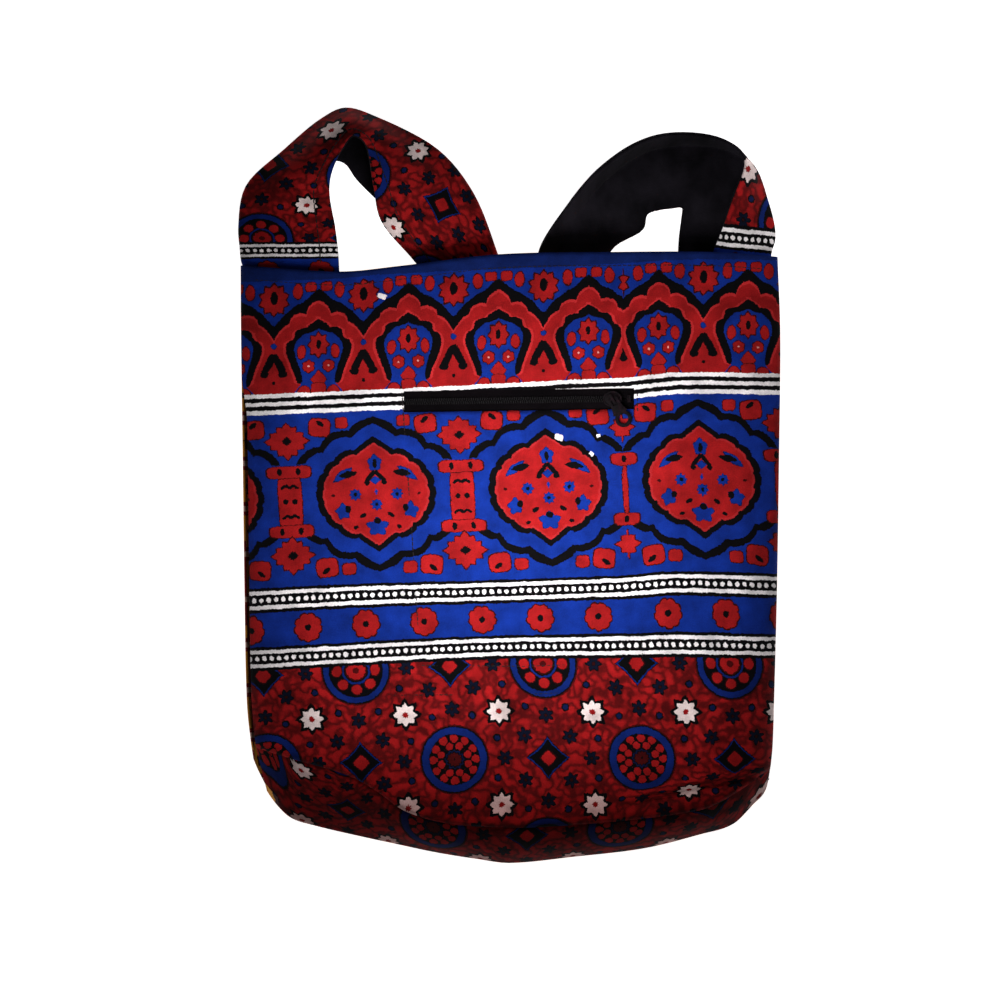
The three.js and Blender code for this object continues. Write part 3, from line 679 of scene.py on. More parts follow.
finishes = {
    "arches": printedCotton("block_printed_cotton_arches", paintArches, "blue"),
    "medallions": printedCotton("block_printed_cotton_medallions", paintMedallions, "blue"),
    "field": printedCotton("block_printed_cotton_field", paintField, "brick"),
    "back": backCotton(),
    "lining": plainCotton("black_cotton_lining", "#08070A", "#1D1A20", 0.05),
}
print("cotton finishes ready")


# Shape of the bag, in millimetres
bag = {
    # height of the front by the share of the way from mouth to crease, and height of its side seams by y
    "heights": [
        (0.0, 23.4), (0.1, 25.7), (0.19, 26.5), (0.34, 26.7), (0.52, 30.4), (0.75, 36.0), (0.92, 38.6),
        (1.0, 37.6),
    ],
    "rims": [(-190, 7.6), (-150, 9.0), (0, 9.6), (150, 10.0)],
    "sideTurn": (5, 0.55),  # powers of the curve by which the front turns down to them
    # x of the left and right sides by y, then y of the mouth, the crease and the bottom edge by x
    "sides": [
        (-200, -164.0, 171.4), (-186, -168.4, 173.2), (-172, -170.8, 174.6), (-140, -173.6, 175.6),
        (-70, -175.0, 177.4), (20, -176.2, 178.8), (100, -177.3, 179.6), (152, -177.6, 177.8),
    ],
    "mouth": [
        (-178, 146.0), (-112, 141.5), (-72, 145.2), (-8, 152.8), (68, 154.4), (136, 154.4), (180, 151.5),
    ],
    "crease": [
        (-172, -171.5), (-144, -179.5), (-107, -190.0), (-88, -200.0), (-70, -213.0), (-41, -221.8),
        (0, -224.6), (35, -223.4), (90, -218.5), (131, -212.0), (150, -202.0), (175, -186.0),
    ],
    "bottom": [
        (-171, -176.0), (-169.6, -181.0), (-163, -197.3), (-154.4, -210.5), (-144.5, -219.8),
        (-129.4, -224.8), (-102.3, -231.2), (-74.6, -237.2), (-47.5, -242.9), (-20.5, -247.2), (0.7, -249.8),
        (43.6, -245.6), (89.8, -240.0), (128, -230.5), (148.5, -224.0), (162.4, -210.4), (170.3, -201.0),
        (173.6, -186.0), (174.4, -180.0),
    ],
    # the back panel's edge stands out along the left side, from the first y on and fully at the second
    "proud": 3.6, "proudFrom": (78, 40),
    "hem": 9.0,
    "cloth": 1.1,
    # soft folds: ends, height and width
    "folds": [
        (119, 92, 96, -112, 2.6, 15), (-60, -150, 40, -176, 1.4, 16), (12, -126, 4, -224, -4.4, 12),
        (-12, -128, -20, -218, 1.6, 10), (-150, -110, -92, -186, 1.8, 13), (150, -120, 128, -190, 1.8, 14),
        (-150, 110, -138, -40, 1.8, 14),
    ],
}
zipWindow = {"x": 6.6, "y": 56.6, "turn": math.radians(0.8), "length": 151.8, "height": 13.8, "top": 24.05}


def sideAt(x, y):
    return readRows(bag["sides"], y, 1 if x < 0 else 2)


def proudAt(y):
    return bag["proud"] * smoothStep(*bag["proudFrom"], y)


def foldHeight(x, y):
    height = 0
    for x0, y0, x1, y1, rise, width in bag["folds"]:
        along = Vector((x1 - x0, y1 - y0))
        start = Vector((x - x0, y - y0))
        t = start.dot(along) / along.length_squared
        off = abs(start.x * along.y - start.y * along.x) / along.length
        height += smoothStep(-0.1, 0.3, t) * smoothStep(1.1, 0.7, t) * ridge(off, rise, 0, width)
    return height


def frontHeight(x, y):
    s = min(abs(x / sideAt(x, y)), 1)
    mouth, crease = readRows(bag["mouth"], x), readRows(bag["crease"], x)
    crown = readRows(bag["heights"], (mouth - y) / (mouth - crease))
    rim = readRows(bag["rims"], y)
    outer, inner = bag["sideTurn"]
    turn = (1 - s ** outer) ** inner
    return rim + (crown - rim) * turn + foldHeight(x, y) * turn


# Slack in the cloth: broad waves and finer creases (height, grain across and along, seed),
# and puckers along the side seams and the hem (height, reach)
slack = {
    "waves": [(0.9, 0.018, 0.013, 1.7), (0.35, 0.05, 0.035, 5.1)],
    "sidePucker": (0.55, 9), "hemPucker": (0.5, 5),
}


def wrinkles(x, y):
    height = sum(rise * noise.noise(Vector((x * across, y * along, seed)))
                 for rise, across, along, seed in slack["waves"])
    side = min(abs(x - sideAt(-1, y)), abs(x - sideAt(1, y)))
    rise, reach = slack["sidePucker"]
    height += rise * math.exp(-side / reach) * noise.noise(Vector((y * 0.11, x * 0.01, 8.3)))
    seam = abs(readRows(bag["mouth"], x) - y - bag["hem"])
    rise, reach = slack["hemPucker"]
    return height + rise * math.exp(-seam / reach) * noise.noise(Vector((x * 0.1, 0.4, 2.9)))


# A pleat in the lower right corner, and the pocket's seams, which run down from the zip's ends
pleat = {
    "from": (76.6, -210.5), "to": (169.6, -190.7), "depth": 2.6, "width": 1.7, "fold": (0.6, 5, 4),
    "grows": (-14, 22), "hidden": 13.0, "hiddenOver": (10, -1),
}
pocket = {
    "seams": [
        ((-70.6, 62), (-64, -30), (-58.1, -118)), ((84.5, 62), (86.4, -30), (87.8, -118)),
        ((-58.1, -118), (10, -118.6), (87.8, -116)), ((-76, -137.5), (10, -137), (64, -135)),
    ],
    "groove": 0.9, "width": 1.1,
}


def pleatAbove(x, y):
    # distance above the pleat's line, and how far the pleat is made at this place
    a, b = Vector(pleat["from"]), Vector(pleat["to"])
    along = (b - a).normalized()
    off = Vector((x, y)) - a
    return off.y * along.x - off.x * along.y, smoothStep(*pleat["grows"], off.dot(along))


def seamReach(x, y):
    # distance to the nearest seam of the pocket
    best = 99.0
    for seam in pocket["seams"]:
        for a, b in zip(seam, seam[1:]):
            run = Vector((b[0] - a[0], b[1] - a[1]))
            off = Vector((x - a[0], y - a[1]))
            share = min(max(off.dot(run) / run.length_squared, 0), 1)
            best = min(best, (off - run * share).length)
    return best


# How far the print sits below its straight line, by place across (x) and at six heights of the panel
printSag = {
    "mouth": 152.5, "heights": [103, 66.7, -64, -101.6, -149.2, -184],
    "rows": [
        (-177.5, 8.3, 7.6, 6.6, 8.8, 8.6, 5.5), (-124.7, 6.9, 5.6, 3.6, 5.6, 5.3, 4.0),
        (-71.9, 3.0, 3.3, 1.7, 2.6, 2.9, 2.6), (-5.9, 0, 0, 0, 0, 0, 0),
        (53.5, -2.6, -2.9, -2.2, -0.8, 0.8, 0), (79.9, -4.0, -4.0, -3.3, -1.3, 0.8, 0),
        (110.2, -6.2, -7.2, -5.5, -2.0, 0.8, 0.7), (178.9, -6.2, -6.9, -3.6, -0.3, 1.5, 1.3),
    ],
}
# How far the print's upright lines lean to the right, by distance below the mouth edge
printLean = [(0, -3.0), (96, -3.0), (154, 0), (214, 3.0), (257, 5.4), (302, 8.0), (333, 9.7), (400, 9.7)]


def clothPlace(x, y):
    # place in the cut cloth: across, and down from the mouth edge
    heights = printSag["heights"]
    sags = [readRows(printSag["rows"], x, k + 1) for k in range(len(heights))]
    table = [(-h, sag) for h, sag in zip(heights, sags)]
    down = printSag["mouth"] - y - readRows(table, -y)
    above, made = pleatAbove(x, y)
    down += pleat["hidden"] * made * smoothStep(*pleat["hiddenOver"], above)
    return (x - readRows(printLean, down), down)


# Front panel: counts of its grid, and how much its lines crowd towards the sides
front = {"left": 34, "window": 52, "right": 34, "above": 32, "slot": 5, "below": 90, "crowd": 0.9}


def frontPlan(i, j):
    # plan place of one point of the front panel's grid; its lines run along the zip window's edges
    half = zipWindow["length"] / 2
    x = -170 + j * 3  # a first guess, which the rounds put right
    for _ in range(4):
        tilt = math.tan(zipWindow["turn"]) * (x - zipWindow["x"])
        stops = [readRows(bag["mouth"], x), zipWindow["y"] + tilt + zipWindow["height"] / 2,
                 zipWindow["y"] + tilt - zipWindow["height"] / 2, readRows(bag["crease"], x)]
        k = i
        for name, top, low in zip(("above", "slot", "below"), stops, stops[1:]):
            if k <= front[name]:
                y = mixed(top, low, k / front[name])
                break
            k -= front[name]
        left, right = sideAt(-1, y) + proudAt(y), sideAt(1, y)
        x0, x1 = zipWindow["x"] - half, zipWindow["x"] + half
        if j <= front["left"]:
            x = mixed(left, x0, 1 - math.cos(j / front["left"] * math.pi / 2) ** front["crowd"] if j else 0)
        elif j <= front["left"] + front["window"]:
            x = mixed(x0, x1, (j - front["left"]) / front["window"])
        else:
            t = (j - front["left"] - front["window"]) / front["right"]
            x = mixed(x1, right, math.sin(t * math.pi / 2) ** front["crowd"])
    return x, y


def windowReach(x, y):
    # distance to the edge of the zip window, in its own turned frame
    dx, dy = x - zipWindow["x"], y - zipWindow["y"]
    c, s = math.cos(zipWindow["turn"]), math.sin(zipWindow["turn"])
    along = abs(dx * c + dy * s) - zipWindow["length"] / 2
    across = abs(dy * c - dx * s) - zipWindow["height"] / 2
    return math.hypot(max(along, 0), max(across, 0))


# Relief of the front: ridges and grooves are (height, distance from the line, width)
relief = {
    "windowRidge": (0.45, 3, 2.4), "windowEdge": (-0.6, 0, 1.1), "hemStep": 0.4, "hemGroove": (-0.5, 9, 0.9),
    "lip": (-1.6, 0, 2.2),
    # wrinkles die out at the side seams, and near the window all but this share of them
    "free": (0.985, 1.0), "calm": (4, 30), "least": 0.15,
}


def frontSpot(x, y):
    z = frontHeight(x, y)
    free = 1 - smoothStep(*relief["free"], abs(x / sideAt(x, y)))
    reach = windowReach(x, y)
    z += wrinkles(x, y) * free * mixed(relief["least"], 1, smoothStep(*relief["calm"], reach))
    z += ridge(reach, *relief["windowRidge"]) + ridge(reach, *relief["windowEdge"])
    mouth = readRows(bag["mouth"], x) - y
    step = smoothStep(bag["hem"] + 0.6, bag["hem"] - 0.4, mouth)
    z += (relief["hemStep"] * step + ridge(mouth, *relief["hemGroove"])) * free
    z += ridge(y - readRows(bag["crease"], x), *relief["lip"])
    above, made = pleatAbove(x, y)
    z += pleat["depth"] * made * (ridge(above, *pleat["fold"]) + ridge(above, -1, 0, pleat["width"]))
    z += ridge(seamReach(x, y), -pocket["groove"], 0, pocket["width"])
    return x, y, z


def gridQuads(rows, columns, skip=None):
    wide = columns + 1
    return [
        (i * wide + j, (i + 1) * wide + j, (i + 1) * wide + j + 1, i * wide + j + 1)
        for i in range(rows) for j in range(columns) if not (skip and skip(i, j))
    ]


frontRows = front["above"] + front["slot"] + front["below"]
frontColumns = front["left"] + front["window"] + front["right"]
frontPlaces = [frontPlan(i, j) for i in range(frontRows + 1) for j in range(frontColumns + 1)]


def bandOf(corners):
    down = sum(c[1] for c in corners) / len(corners)
    return 0 if down < arches["end"] else 1 if down < medallions["end"] else 2


def inWindow(i, j):
    return (front["above"] <= i < front["above"] + front["slot"]
            and front["left"] <= j < front["left"] + front["window"])


frontPanel = sheetObject(
    "front_cloth", [frontSpot(*p) for p in frontPlaces], gridQuads(frontRows, frontColumns, inWindow),
    [clothPlace(*p) for p in frontPlaces],
    [finishes[name] for name in ("arches", "medallions", "field", "lining")], bandOf,
)
thicken(frontPanel, bag["cloth"], 3)
print("front panel", len(frontPanel.data.polygons))


# Base panel: tucked under the front panel's lower lip, then down to the bottom edge
base = {
    "columns": 96, "rows": 26, "guess": -205.0, "rise": 4.1, "tuck": 9.0, "tuckDrop": 3.0, "lipDrop": 2.6,
    "belly": 4.5, "bellyOut": 0.5, "bellyUp": 0.8, "crumple": [(1.1, 0.03, 2.2, 4.4), (0.4, 0.09, 3, 7.7)],
    # where the print lies: across, at the bottom edge, and drawn up at the left end and its corner
    "across": 4.4, "bottom": 364.8, "drawn": (-72, -112), "drawnUp": 0.5, "drawnAcross": 5,
    "corner": (-138, -158), "cornerUp": 0.8,
    # quads that the back panel's cloth covers at the left corner
    "backFrom": 21, "backColumns": range(1, 10),
}


def edgeSpot(s, edge):
    # where an edge of the bag lies at this share of the half width
    y = base["guess"]
    for _ in range(4):
        x = abs(s) * sideAt(s, y) + (-s * proudAt(y) if s < 0 else 0)
        y = readRows(bag[edge], x)
    return x, y


def baseSpot(i, j):
    s = math.sin((j / base["columns"] - 0.5) * math.pi)
    x, y = edgeSpot(s, "crease")
    if i == 0:
        y += base["tuck"]
        return Vector((x, y, frontHeight(x, y) - base["tuckDrop"]))
    lip = Vector((x, y, frontHeight(x, y) - base["lipDrop"]))
    share = (i - 1) / (base["rows"] - 1)
    spot = lip.lerp(Vector((*edgeSpot(s, "bottom"), base["rise"])), share)
    arch = 4 * share * (1 - share)
    out = base["belly"] * arch * (1 - s ** 4)
    spot.y -= out * base["bellyOut"]
    spot.z += out * base["bellyUp"]
    spot.z += arch * sum(rise * noise.noise(Vector((x * grain, share * run, seed)))
                         for rise, grain, run, seed in base["crumple"])
    return spot


basePlaces = [[baseSpot(i, j) for j in range(base["columns"] + 1)] for i in range(base["rows"] + 1)]
baseCloth = []
for i, row in enumerate(basePlaces):
    for j, spot in enumerate(row):
        # measured up from the bottom edge, which runs along a row of stars
        rest = sum((basePlaces[k + 1][j] - basePlaces[k][j]).length for k in range(i, base["rows"]))
        # the left end is drawn up, so more of the print shows there, and a ring runs on over the corner
        drawn = smoothStep(*base["drawn"], spot.x)
        scale = 1 + base["drawnUp"] * drawn - base["cornerUp"] * smoothStep(*base["corner"], spot.x)
        across = spot.x + base["across"] - base["drawnAcross"] * drawn
        baseCloth.append((across, base["bottom"] - rest * scale))
basePanel = sheetObject(
    "base_cloth", [spot for row in basePlaces for spot in row], gridQuads(base["rows"], base["columns"]),
    baseCloth, [finishes[name] for name in ("field", "lining", "back", "lining")],
)
# the back panel's cloth comes round the left corner
for polygon in basePanel.data.polygons:
    row, column = divmod(min(polygon.vertices), base["columns"] + 1)
    if row >= base["backFrom"] and column in base["backColumns"]:
        polygon.material_index = 2
thicken(basePanel, bag["cloth"], 1)
print("base panel", len(basePanel.data.polygons))


# Back panel: lies on the floor, rides over the strap near the mouth and turns up along the side seams
back = {
    "columns": 72, "rows": 60, "guess": 176, "inset": 1.6, "thick": 1.4,
    # the rise over the strap, full inside the first x and y and gone past the second
    "lift": 9.8, "full": (76, 88), "gone": (108, 26),
    # the turn up to the side seams ends this far below them and fades out at the base
    "gap": 0.35, "turnFrom": (-179, -150), "turned": 9,
}


def backSpot(i, j):
    s = math.sin((j / back["columns"] - 0.5) * math.pi)
    x = s * back["guess"]
    for _ in range(4):
        y = mixed(readRows(bag["mouth"], x), readRows(bag["bottom"], x), i / back["rows"])
        x = abs(s) * sideAt(s, y) - (s * back["inset"] if s > 0 else 0)
    across = smoothStep(back["gone"][0], back["full"][0], abs(x))
    z = back["lift"] * across * smoothStep(back["gone"][1], back["full"][1], y)
    turn = (readRows(bag["rims"], y) - back["gap"]) * smoothStep(*back["turnFrom"], y)
    into = abs(x) - (abs(sideAt(s, y)) - turn)
    if into > 0 and turn > 0.05:
        z += turn - math.sqrt(max(turn * turn - into * into, 0))
    return Vector((x, y, z))


backPlaces = [[backSpot(i, j) for j in range(back["columns"] + 1)] for i in range(back["rows"] + 1)]
backCloth = []
for row in backPlaces:
    middle = back["columns"] // 2
    for j, spot in enumerate(row):
        span = range(middle, j) if j > middle else range(j, middle)
        run = sum((row[k + 1] - row[k]).length for k in span)
        backCloth.append((run if j > middle else -run, spot.y))
backPanel = sheetObject(
    "back_cloth", [spot for row in backPlaces for spot in row],
    [tuple(reversed(q)) for q in gridQuads(back["rows"], back["columns"])], backCloth,
    [finishes["back"], finishes["lining"], finishes["back"], finishes["back"]],
)
# along the left side the edge is turned in, so its print shows from above
for polygon in backPanel.data.polygons:
    if max(v % (back["columns"] + 1) for v in polygon.vertices) <= back["turned"]:
        polygon.material_index = 2
thicken(backPanel, back["thick"], 1)
print("back panel", len(backPanel.data.polygons))


# Strap: from its left end, sewn in at the mouth, round behind the bag to its right end.
# Each row holds the front edge, the lengthwise fold, the back edge, how shut the fold is
# and how far the front half bulges.
strap = {
    "rows": [
        ((-112, 126, 18), (-170.6, 126, 8), (-134, 126, 4.6), 1, 0),
        ((-112, 137, 17.6), (-171, 137, 8), (-136, 137, 4.6), 1, 0),
        ((-112.4, 147, 16.4), (-175.8, 148, 7.6), (-138, 148, 4.4), 1, 0),
        ((-113, 157, 14), (-177.2, 159, 6.4), (-138.6, 159, 3.2), 1, 1.5),
        ((-115, 172, 12), (-178, 172, 5.2), (-139, 174, 2.2), 1, 3),
        ((-118.6, 195, 19), (-173.4, 198, 4.4), (-134, 194, 1.6), 1, 6),
        ((-115.4, 210, 32), (-148.5, 222, 4.3), (-124, 208, 1.6), 1, 8),
        ((-108.6, 223, 39), (-123.6, 242.6, 4.3), (-116.4, 215.4, 1.6), 1, 7),
        ((-102.6, 230, 40), (-108.6, 249.4, 4.3), (-109, 213.8, 1.6), 1, 6),
        ((-95, 226, 37), (-87, 243, 4.3), (-101.2, 203.4, 1.6), 1, 6),
        ((-89.6, 199, 25), (-47.6, 222, 4.3), (-86.4, 188.6, 1.6), 1, 8),
        ((-84.6, 175.6, 13), (-24.4, 193.4, 4.2), (-68.6, 172.3, 1.6), 1, 4),
        ((-65.6, 152.5, 7), (-8.2, 152.5, 4.2), (-45.4, 150.5, 1.5), 1, 0.4),
        ((-39, 123, 6.8), (-2, 134, 4.2), (-37.4, 112, 1.5), 1, 0),
        ((0, 104, 6.6), (6, 122, 3.9), (-6, 74, 1.5), 0.9, 0),
        ((17.4, 114.6, 7), (17, 125, 3), (33.6, 76.6, 1.6), 0.4, 0),
        ((25.4, 133.4, 7.8), (23.6, 134.4, 2.2), (54, 94, 1.6), 0, 0),
        ((19.6, 147, 6), (26.6, 144, 2), (64, 118, 1.6), 0, 0),
        ((20.4, 157, 5), (30.6, 155, 2), (67.6, 155.6, 1.5), 0, 0),
        ((36, 181, 12), (48.4, 183.6, 2), (89.2, 170.3, 1.5), 0, 0),
        ((58.6, 208, 20), (67.8, 205.6, 2.4), (92, 180, 1.6), 0, 0),
        ((86, 226.4, 27), (92.8, 222, 3), (99.6, 182.8, 1.8), 0, 0),
        ((110, 231.7, 32), (120.4, 226, 4), (108.6, 184, 2.2), 0, 0),
        ((141, 227, 35), (146, 222.4, 5.6), (113.6, 184.6, 2.4), 0.1, 0),
        ((154.4, 215.4, 36), (161, 211.6, 7), (114.8, 184, 2.6), 0.3, 2),
        ((146.6, 187, 27), (170.6, 188.6, 7), (114.4, 179.4, 2.8), 0.8, 3),
        ((138.6, 164, 18.6), (175.4, 165.6, 7), (112.6, 165, 3.6), 1, 2),
        ((134.6, 154, 15.6), (172.6, 154, 7.6), (112, 154, 5), 1, 0),
        ((133.6, 142, 16.4), (171.4, 142, 7.8), (112, 142, 5), 1, 0),
        ((133, 132, 16.8), (171, 132, 7.8), (112, 132, 5), 1, 0),
    ],
    "steps": 6, "across": 28, "nearShare": 0.12, "nearMost": 0.45, "nearReach": 5, "nearRise": 2.3,
    "printThick": 1.2, "liningThick": 1.0, "layerGap": 0.3, "width": 106, "length": 620,
    "lowest": 1.5, "floor": 0.05, "slack": 2.2, "slackFrom": (158, 176), "slackClear": (2, 8),
    # rows that the stitching runs along, and its column
    "stitched": slice(12, 78), "stitchLine": 2,
    # along the right loop the lining is turned over the front edge
    "turned": {"from": 84, "to": 144, "reach": 4},
}


def railSpot(points, t):
    # point on a centripetal Catmull-Rom curve
    last = len(points) - 1
    p = last * t
    k = min(int(p), last - 1)
    w = p - k
    p1, p2 = points[k], points[k + 1]
    p0 = points[k - 1] if k else p1 * 2 - p2
    p3 = points[k + 2] if k + 2 <= last else p2 * 2 - p1
    d0, d1, d2 = (max((b - a).length ** 0.5, 1e-4) for a, b in ((p0, p1), (p1, p2), (p2, p3)))
    t1 = ((p1 - p0) / d0 - (p2 - p0) / (d0 + d1) + (p2 - p1) / d1) * d1
    t2 = ((p2 - p1) / d1 - (p3 - p1) / (d1 + d2) + (p3 - p2) / d2) * d1
    return p1 + t1 * w + (-3 * p1 + 3 * p2 - 2 * t1 - t2) * w * w + (2 * p1 - 2 * p2 + t1 + t2) * w ** 3


def strapSection(edge, fold, rear, shut, belly):
    edge, fold, rear = Vector(edge), Vector(fold), Vector(rear)

    def near(side):
        share = max(strap["nearShare"], strap["nearReach"] / (side - fold).length)
        return fold.lerp(side, min(share, strap["nearMost"]))

    frontNear, backNear = near(edge), near(rear)
    frontNear.z += strap["nearRise"] * shut
    backNear.z = max(backNear.z - strap["nearRise"] * shut, strap["lowest"])
    frontMiddle, backMiddle = frontNear.lerp(edge, 0.5), backNear.lerp(rear, 0.5)
    frontMiddle.z += belly
    return [edge, frontMiddle, frontNear, fold, backNear, backMiddle, rear]


strapRails = list(zip(*[strapSection(*row) for row in strap["rows"]]))
strapRows = (len(strap["rows"]) - 1) * strap["steps"]
strapGrid = []
for i in range(strapRows + 1):
    section = [railSpot(rail, i / strapRows) for rail in strapRails]
    strapGrid.append([railSpot(section, j / strap["across"]) for j in range(strap["across"] + 1)])
# slack in the strap: slanting creases where it stands clear of the bag
for row in strapGrid:
    for spot in row:
        crease = noise.noise(Vector((spot.x * 0.02 - spot.y * 0.02, spot.x * 0.05 + spot.y * 0.05, 6.2)))
        clear = smoothStep(*strap["slackFrom"], spot.y) * smoothStep(*strap["slackClear"], spot.z)
        spot.z += strap["slack"] * crease * clear


def gridNormals(grid):
    rows, columns = len(grid) - 1, len(grid[0]) - 1
    return [[
        (grid[min(i + 1, rows)][j] - grid[max(i - 1, 0)][j])
        .cross(grid[i][min(j + 1, columns)] - grid[i][max(j - 1, 0)]).normalized()
        for j in range(columns + 1)] for i in range(rows + 1)]


# Where the print lies on the strap, fitted to the photograph and counted from a ring of the lower field:
# the left loop by terms in 1, a, b, aa, ab and bb, with a and b in tenths of a metre from its middle
strapFit = {
    "left": {
        "x": -100, "y": 180, "across": (66.5, 104.4, -11.9, 0, -13.8, -48.4),
        "up": (31.9, 30.6, 117.9, 19.8, -19.0, 0),
        "levelTo": -105, "levelY": 161.3, "tall": 1.38, "drop": 3.4, "blend": (165, 195),
    },
    "right": {
        "x": 183, "wide": 1.15, "y": 165.6, "tall": 0.93, "drop": 9, "lean": 0.1, "leanFrom": 160,
        "foot": 7, "wall": (140, 128),
    },
}


def strapPlace(i, spot):
    # place in the cut cloth: the strap was cut in a curve, so its print keeps one direction along each loop
    x, y, z = spot
    if i >= strap["turned"]["from"]:
        fit = strapFit["right"]
        across = fit["wide"] * (x - fit["x"])
        up = fit["tall"] * (y - fit["y"] + fit["lean"] * (x - fit["leanFrom"])) - fit["drop"]
        up -= (z - fit["foot"]) * smoothStep(*fit["wall"], i)  # the outer wall of the loop stands upright
    else:
        fit = strapFit["left"]
        a, b = (x - fit["x"]) / 100, (y - fit["y"]) / 100
        terms = (1, a, b, a * a, a * b, b * b)
        across, up = (sum(k * t for k, t in zip(fit[name], terms)) for name in ("across", "up"))
        if x < fit["levelTo"]:
            # near its sewn end the dotted band lies level
            level = fit["tall"] * (y - fit["levelY"]) - fit["drop"]
            up = mixed(level, up, smoothStep(*fit["blend"], y))
    return (field["ring"][0] + across, field["ring"][1] + up)


def strapLayer(name, low, high, finishList, turned=None):
    # one layer of the strap, closed between two offsets of its middle surface
    top, under = (
        [spot + normal * off for r, n in zip(strapGrid, strapNormals) for spot, normal in zip(r, n)]
        for off in (high, low))
    for spot in top + under:
        spot.z = max(spot.z, strap["floor"])
    count, columns = len(top), strap["across"]
    quads = gridQuads(strapRows, columns)
    quads += [tuple(count + v for v in reversed(q)) for q in gridQuads(strapRows, columns)]

    def wall(a, b):
        quads.append((b, a, count + a, count + b))

    for j in range(columns):
        wall(j + 1, j)
        wall(strapRows * (columns + 1) + j, strapRows * (columns + 1) + j + 1)
    for i in range(strapRows):
        wall(i * (columns + 1), (i + 1) * (columns + 1))
        wall((i + 1) * (columns + 1) + columns, i * (columns + 1) + columns)
    layer = sheetObject(name, top + under, quads, strapCloth + strapCloth, finishList)
    for polygon in layer.data.polygons if turned else ():
        spots = [divmod(v % count, columns + 1) for v in polygon.vertices]
        if all(turned["from"] <= i <= turned["to"] and j <= turned["reach"] for i, j in spots):
            polygon.material_index = 1
    return layer


strapNormals = gridNormals(strapGrid)
strapCloth = [strapPlace(i, spot) for i, row in enumerate(strapGrid) for spot in row]
half = strap["layerGap"] / 2
strapPrint = strapLayer("strap_print_cloth", half, half + strap["printThick"],
                        [finishes["field"], finishes["lining"]], strap["turned"])
strapLining = strapLayer("strap_lining_cloth", -half - strap["liningThick"], -half, [finishes["lining"]])
print("strap ready")

# Zip: woven tapes, nylon coil, slider with its pull and the end stop, built in the zip's own turned frame
zipFrame = (Matrix.Translation(Vector((zipWindow["x"], zipWindow["y"], zipWindow["top"])) * mm)
            @ Matrix.Rotation(zipWindow["turn"], 4, "Z"))
tape = {
    "long": 164, "outer": 10.4, "slot": 1.0, "meet": 0.16, "closes": (67.4, 69.0), "thick": 0.7,
    "columns": 82, "rows": 9, "crowd": 1.3, "sink": 0.05, "cord": 0.12, "cordEnds": (2.4, 4.0), "wave": 0.1,
}
tapeFinish = plainCotton("woven_zip_tape", "#040304", "#090608", 0.02)


def tapeSheet(name, side):
    spots, cloth = [], []
    for i in range(tape["rows"] + 1):
        for j in range(tape["columns"] + 1):
            x = mixed(-tape["long"] / 2, tape["long"] / 2, j / tape["columns"])
            inner = mixed(tape["slot"], tape["meet"], smoothStep(*tape["closes"], x))
            y = mixed(inner, tape["outer"], (i / tape["rows"]) ** tape["crowd"])
            # a thicker cord runs under the coil, and the tape waves slightly along its length
            z = -tape["sink"] - tape["cord"] * smoothStep(*tape["cordEnds"], y)
            z += tape["wave"] * noise.noise(Vector((x * 0.06, y * 0.1 * side, 3.3)))
            spots.append(zipFrame @ (Vector((x, side * y, z)) * mm) / mm)
            cloth.append((x, side * y))
    quads = gridQuads(tape["rows"], tape["columns"])
    if side > 0:
        quads = [tuple(reversed(q)) for q in quads]
    piece = sheetObject(name, spots, quads, cloth, [tapeFinish])
    thicken(piece, tape["thick"])
    return piece


tapeUpper, tapeLower = tapeSheet("zip_tape_upper_cloth", 1), tapeSheet("zip_tape_lower_cloth", -1)
print("zip tapes", len(tapeUpper.data.polygons))


def startPiece(name, kind, **settings):
    # adds a primitive at its size and place, and leaves it active
    bpy.ops.object.select_all(action="DESELECT")
    getattr(bpy.ops.mesh, "primitive_" + kind + "_add")(**settings)
    piece = bpy.context.active_object
    piece.name = name
    bpy.ops.object.transform_apply(location=True, rotation=True, scale=True)
    return piece


def startBox(name, low, high):
    middle = [(a + b) / 2 * mm for a, b in zip(low, high)]
    return startPiece(name, "cube", size=mm, location=middle, scale=[b - a for a, b in zip(low, high)])


def startDisc(name, at, radius, low, high, oval=1.0):
    return startPiece(name, "cylinder", vertices=48, radius=radius * mm, depth=(high - low) * mm,
                      location=(at * mm, 0, (low + high) / 2 * mm), scale=(1, oval, 1))


def pickFaces(piece, wanted):
    # leaves the piece in edit mode with the wanted faces selected; the test sees their middle and normal
    bpy.ops.object.mode_set(mode="EDIT")
    bpy.ops.mesh.select_mode(type="FACE")
    bpy.ops.mesh.select_all(action="DESELECT")
    bpy.ops.object.mode_set(mode="OBJECT")
    for face in piece.data.polygons:
        face.select = wanted(face.center / mm, face.normal)
    bpy.ops.object.mode_set(mode="EDIT")


def pushFaces(x=0.0, z=0.0):
    bpy.ops.mesh.extrude_region_move(TRANSFORM_OT_translate={"value": (x * mm, 0, z * mm)})


def insetAndPush(thick, rise):
    bpy.ops.mesh.inset(thickness=thick * mm)
    pushFaces(z=rise)


def cutWith(piece, tool, operation):
    finishWith(piece, "BOOLEAN", object=tool, operation=operation, solver="EXACT")
    bpy.data.objects.remove(tool, do_unlink=True)


def joinPieces(pieces):
    pickOnly(*pieces)
    bpy.ops.object.join()
    pieces[0].select_set(False)
    return pieces[0]


castEdge = {"bevel": 0.22, "sharp": math.radians(38), "smooth": math.radians(32)}
facing = 0.9  # a face looks along an axis when its normal reaches this far along it


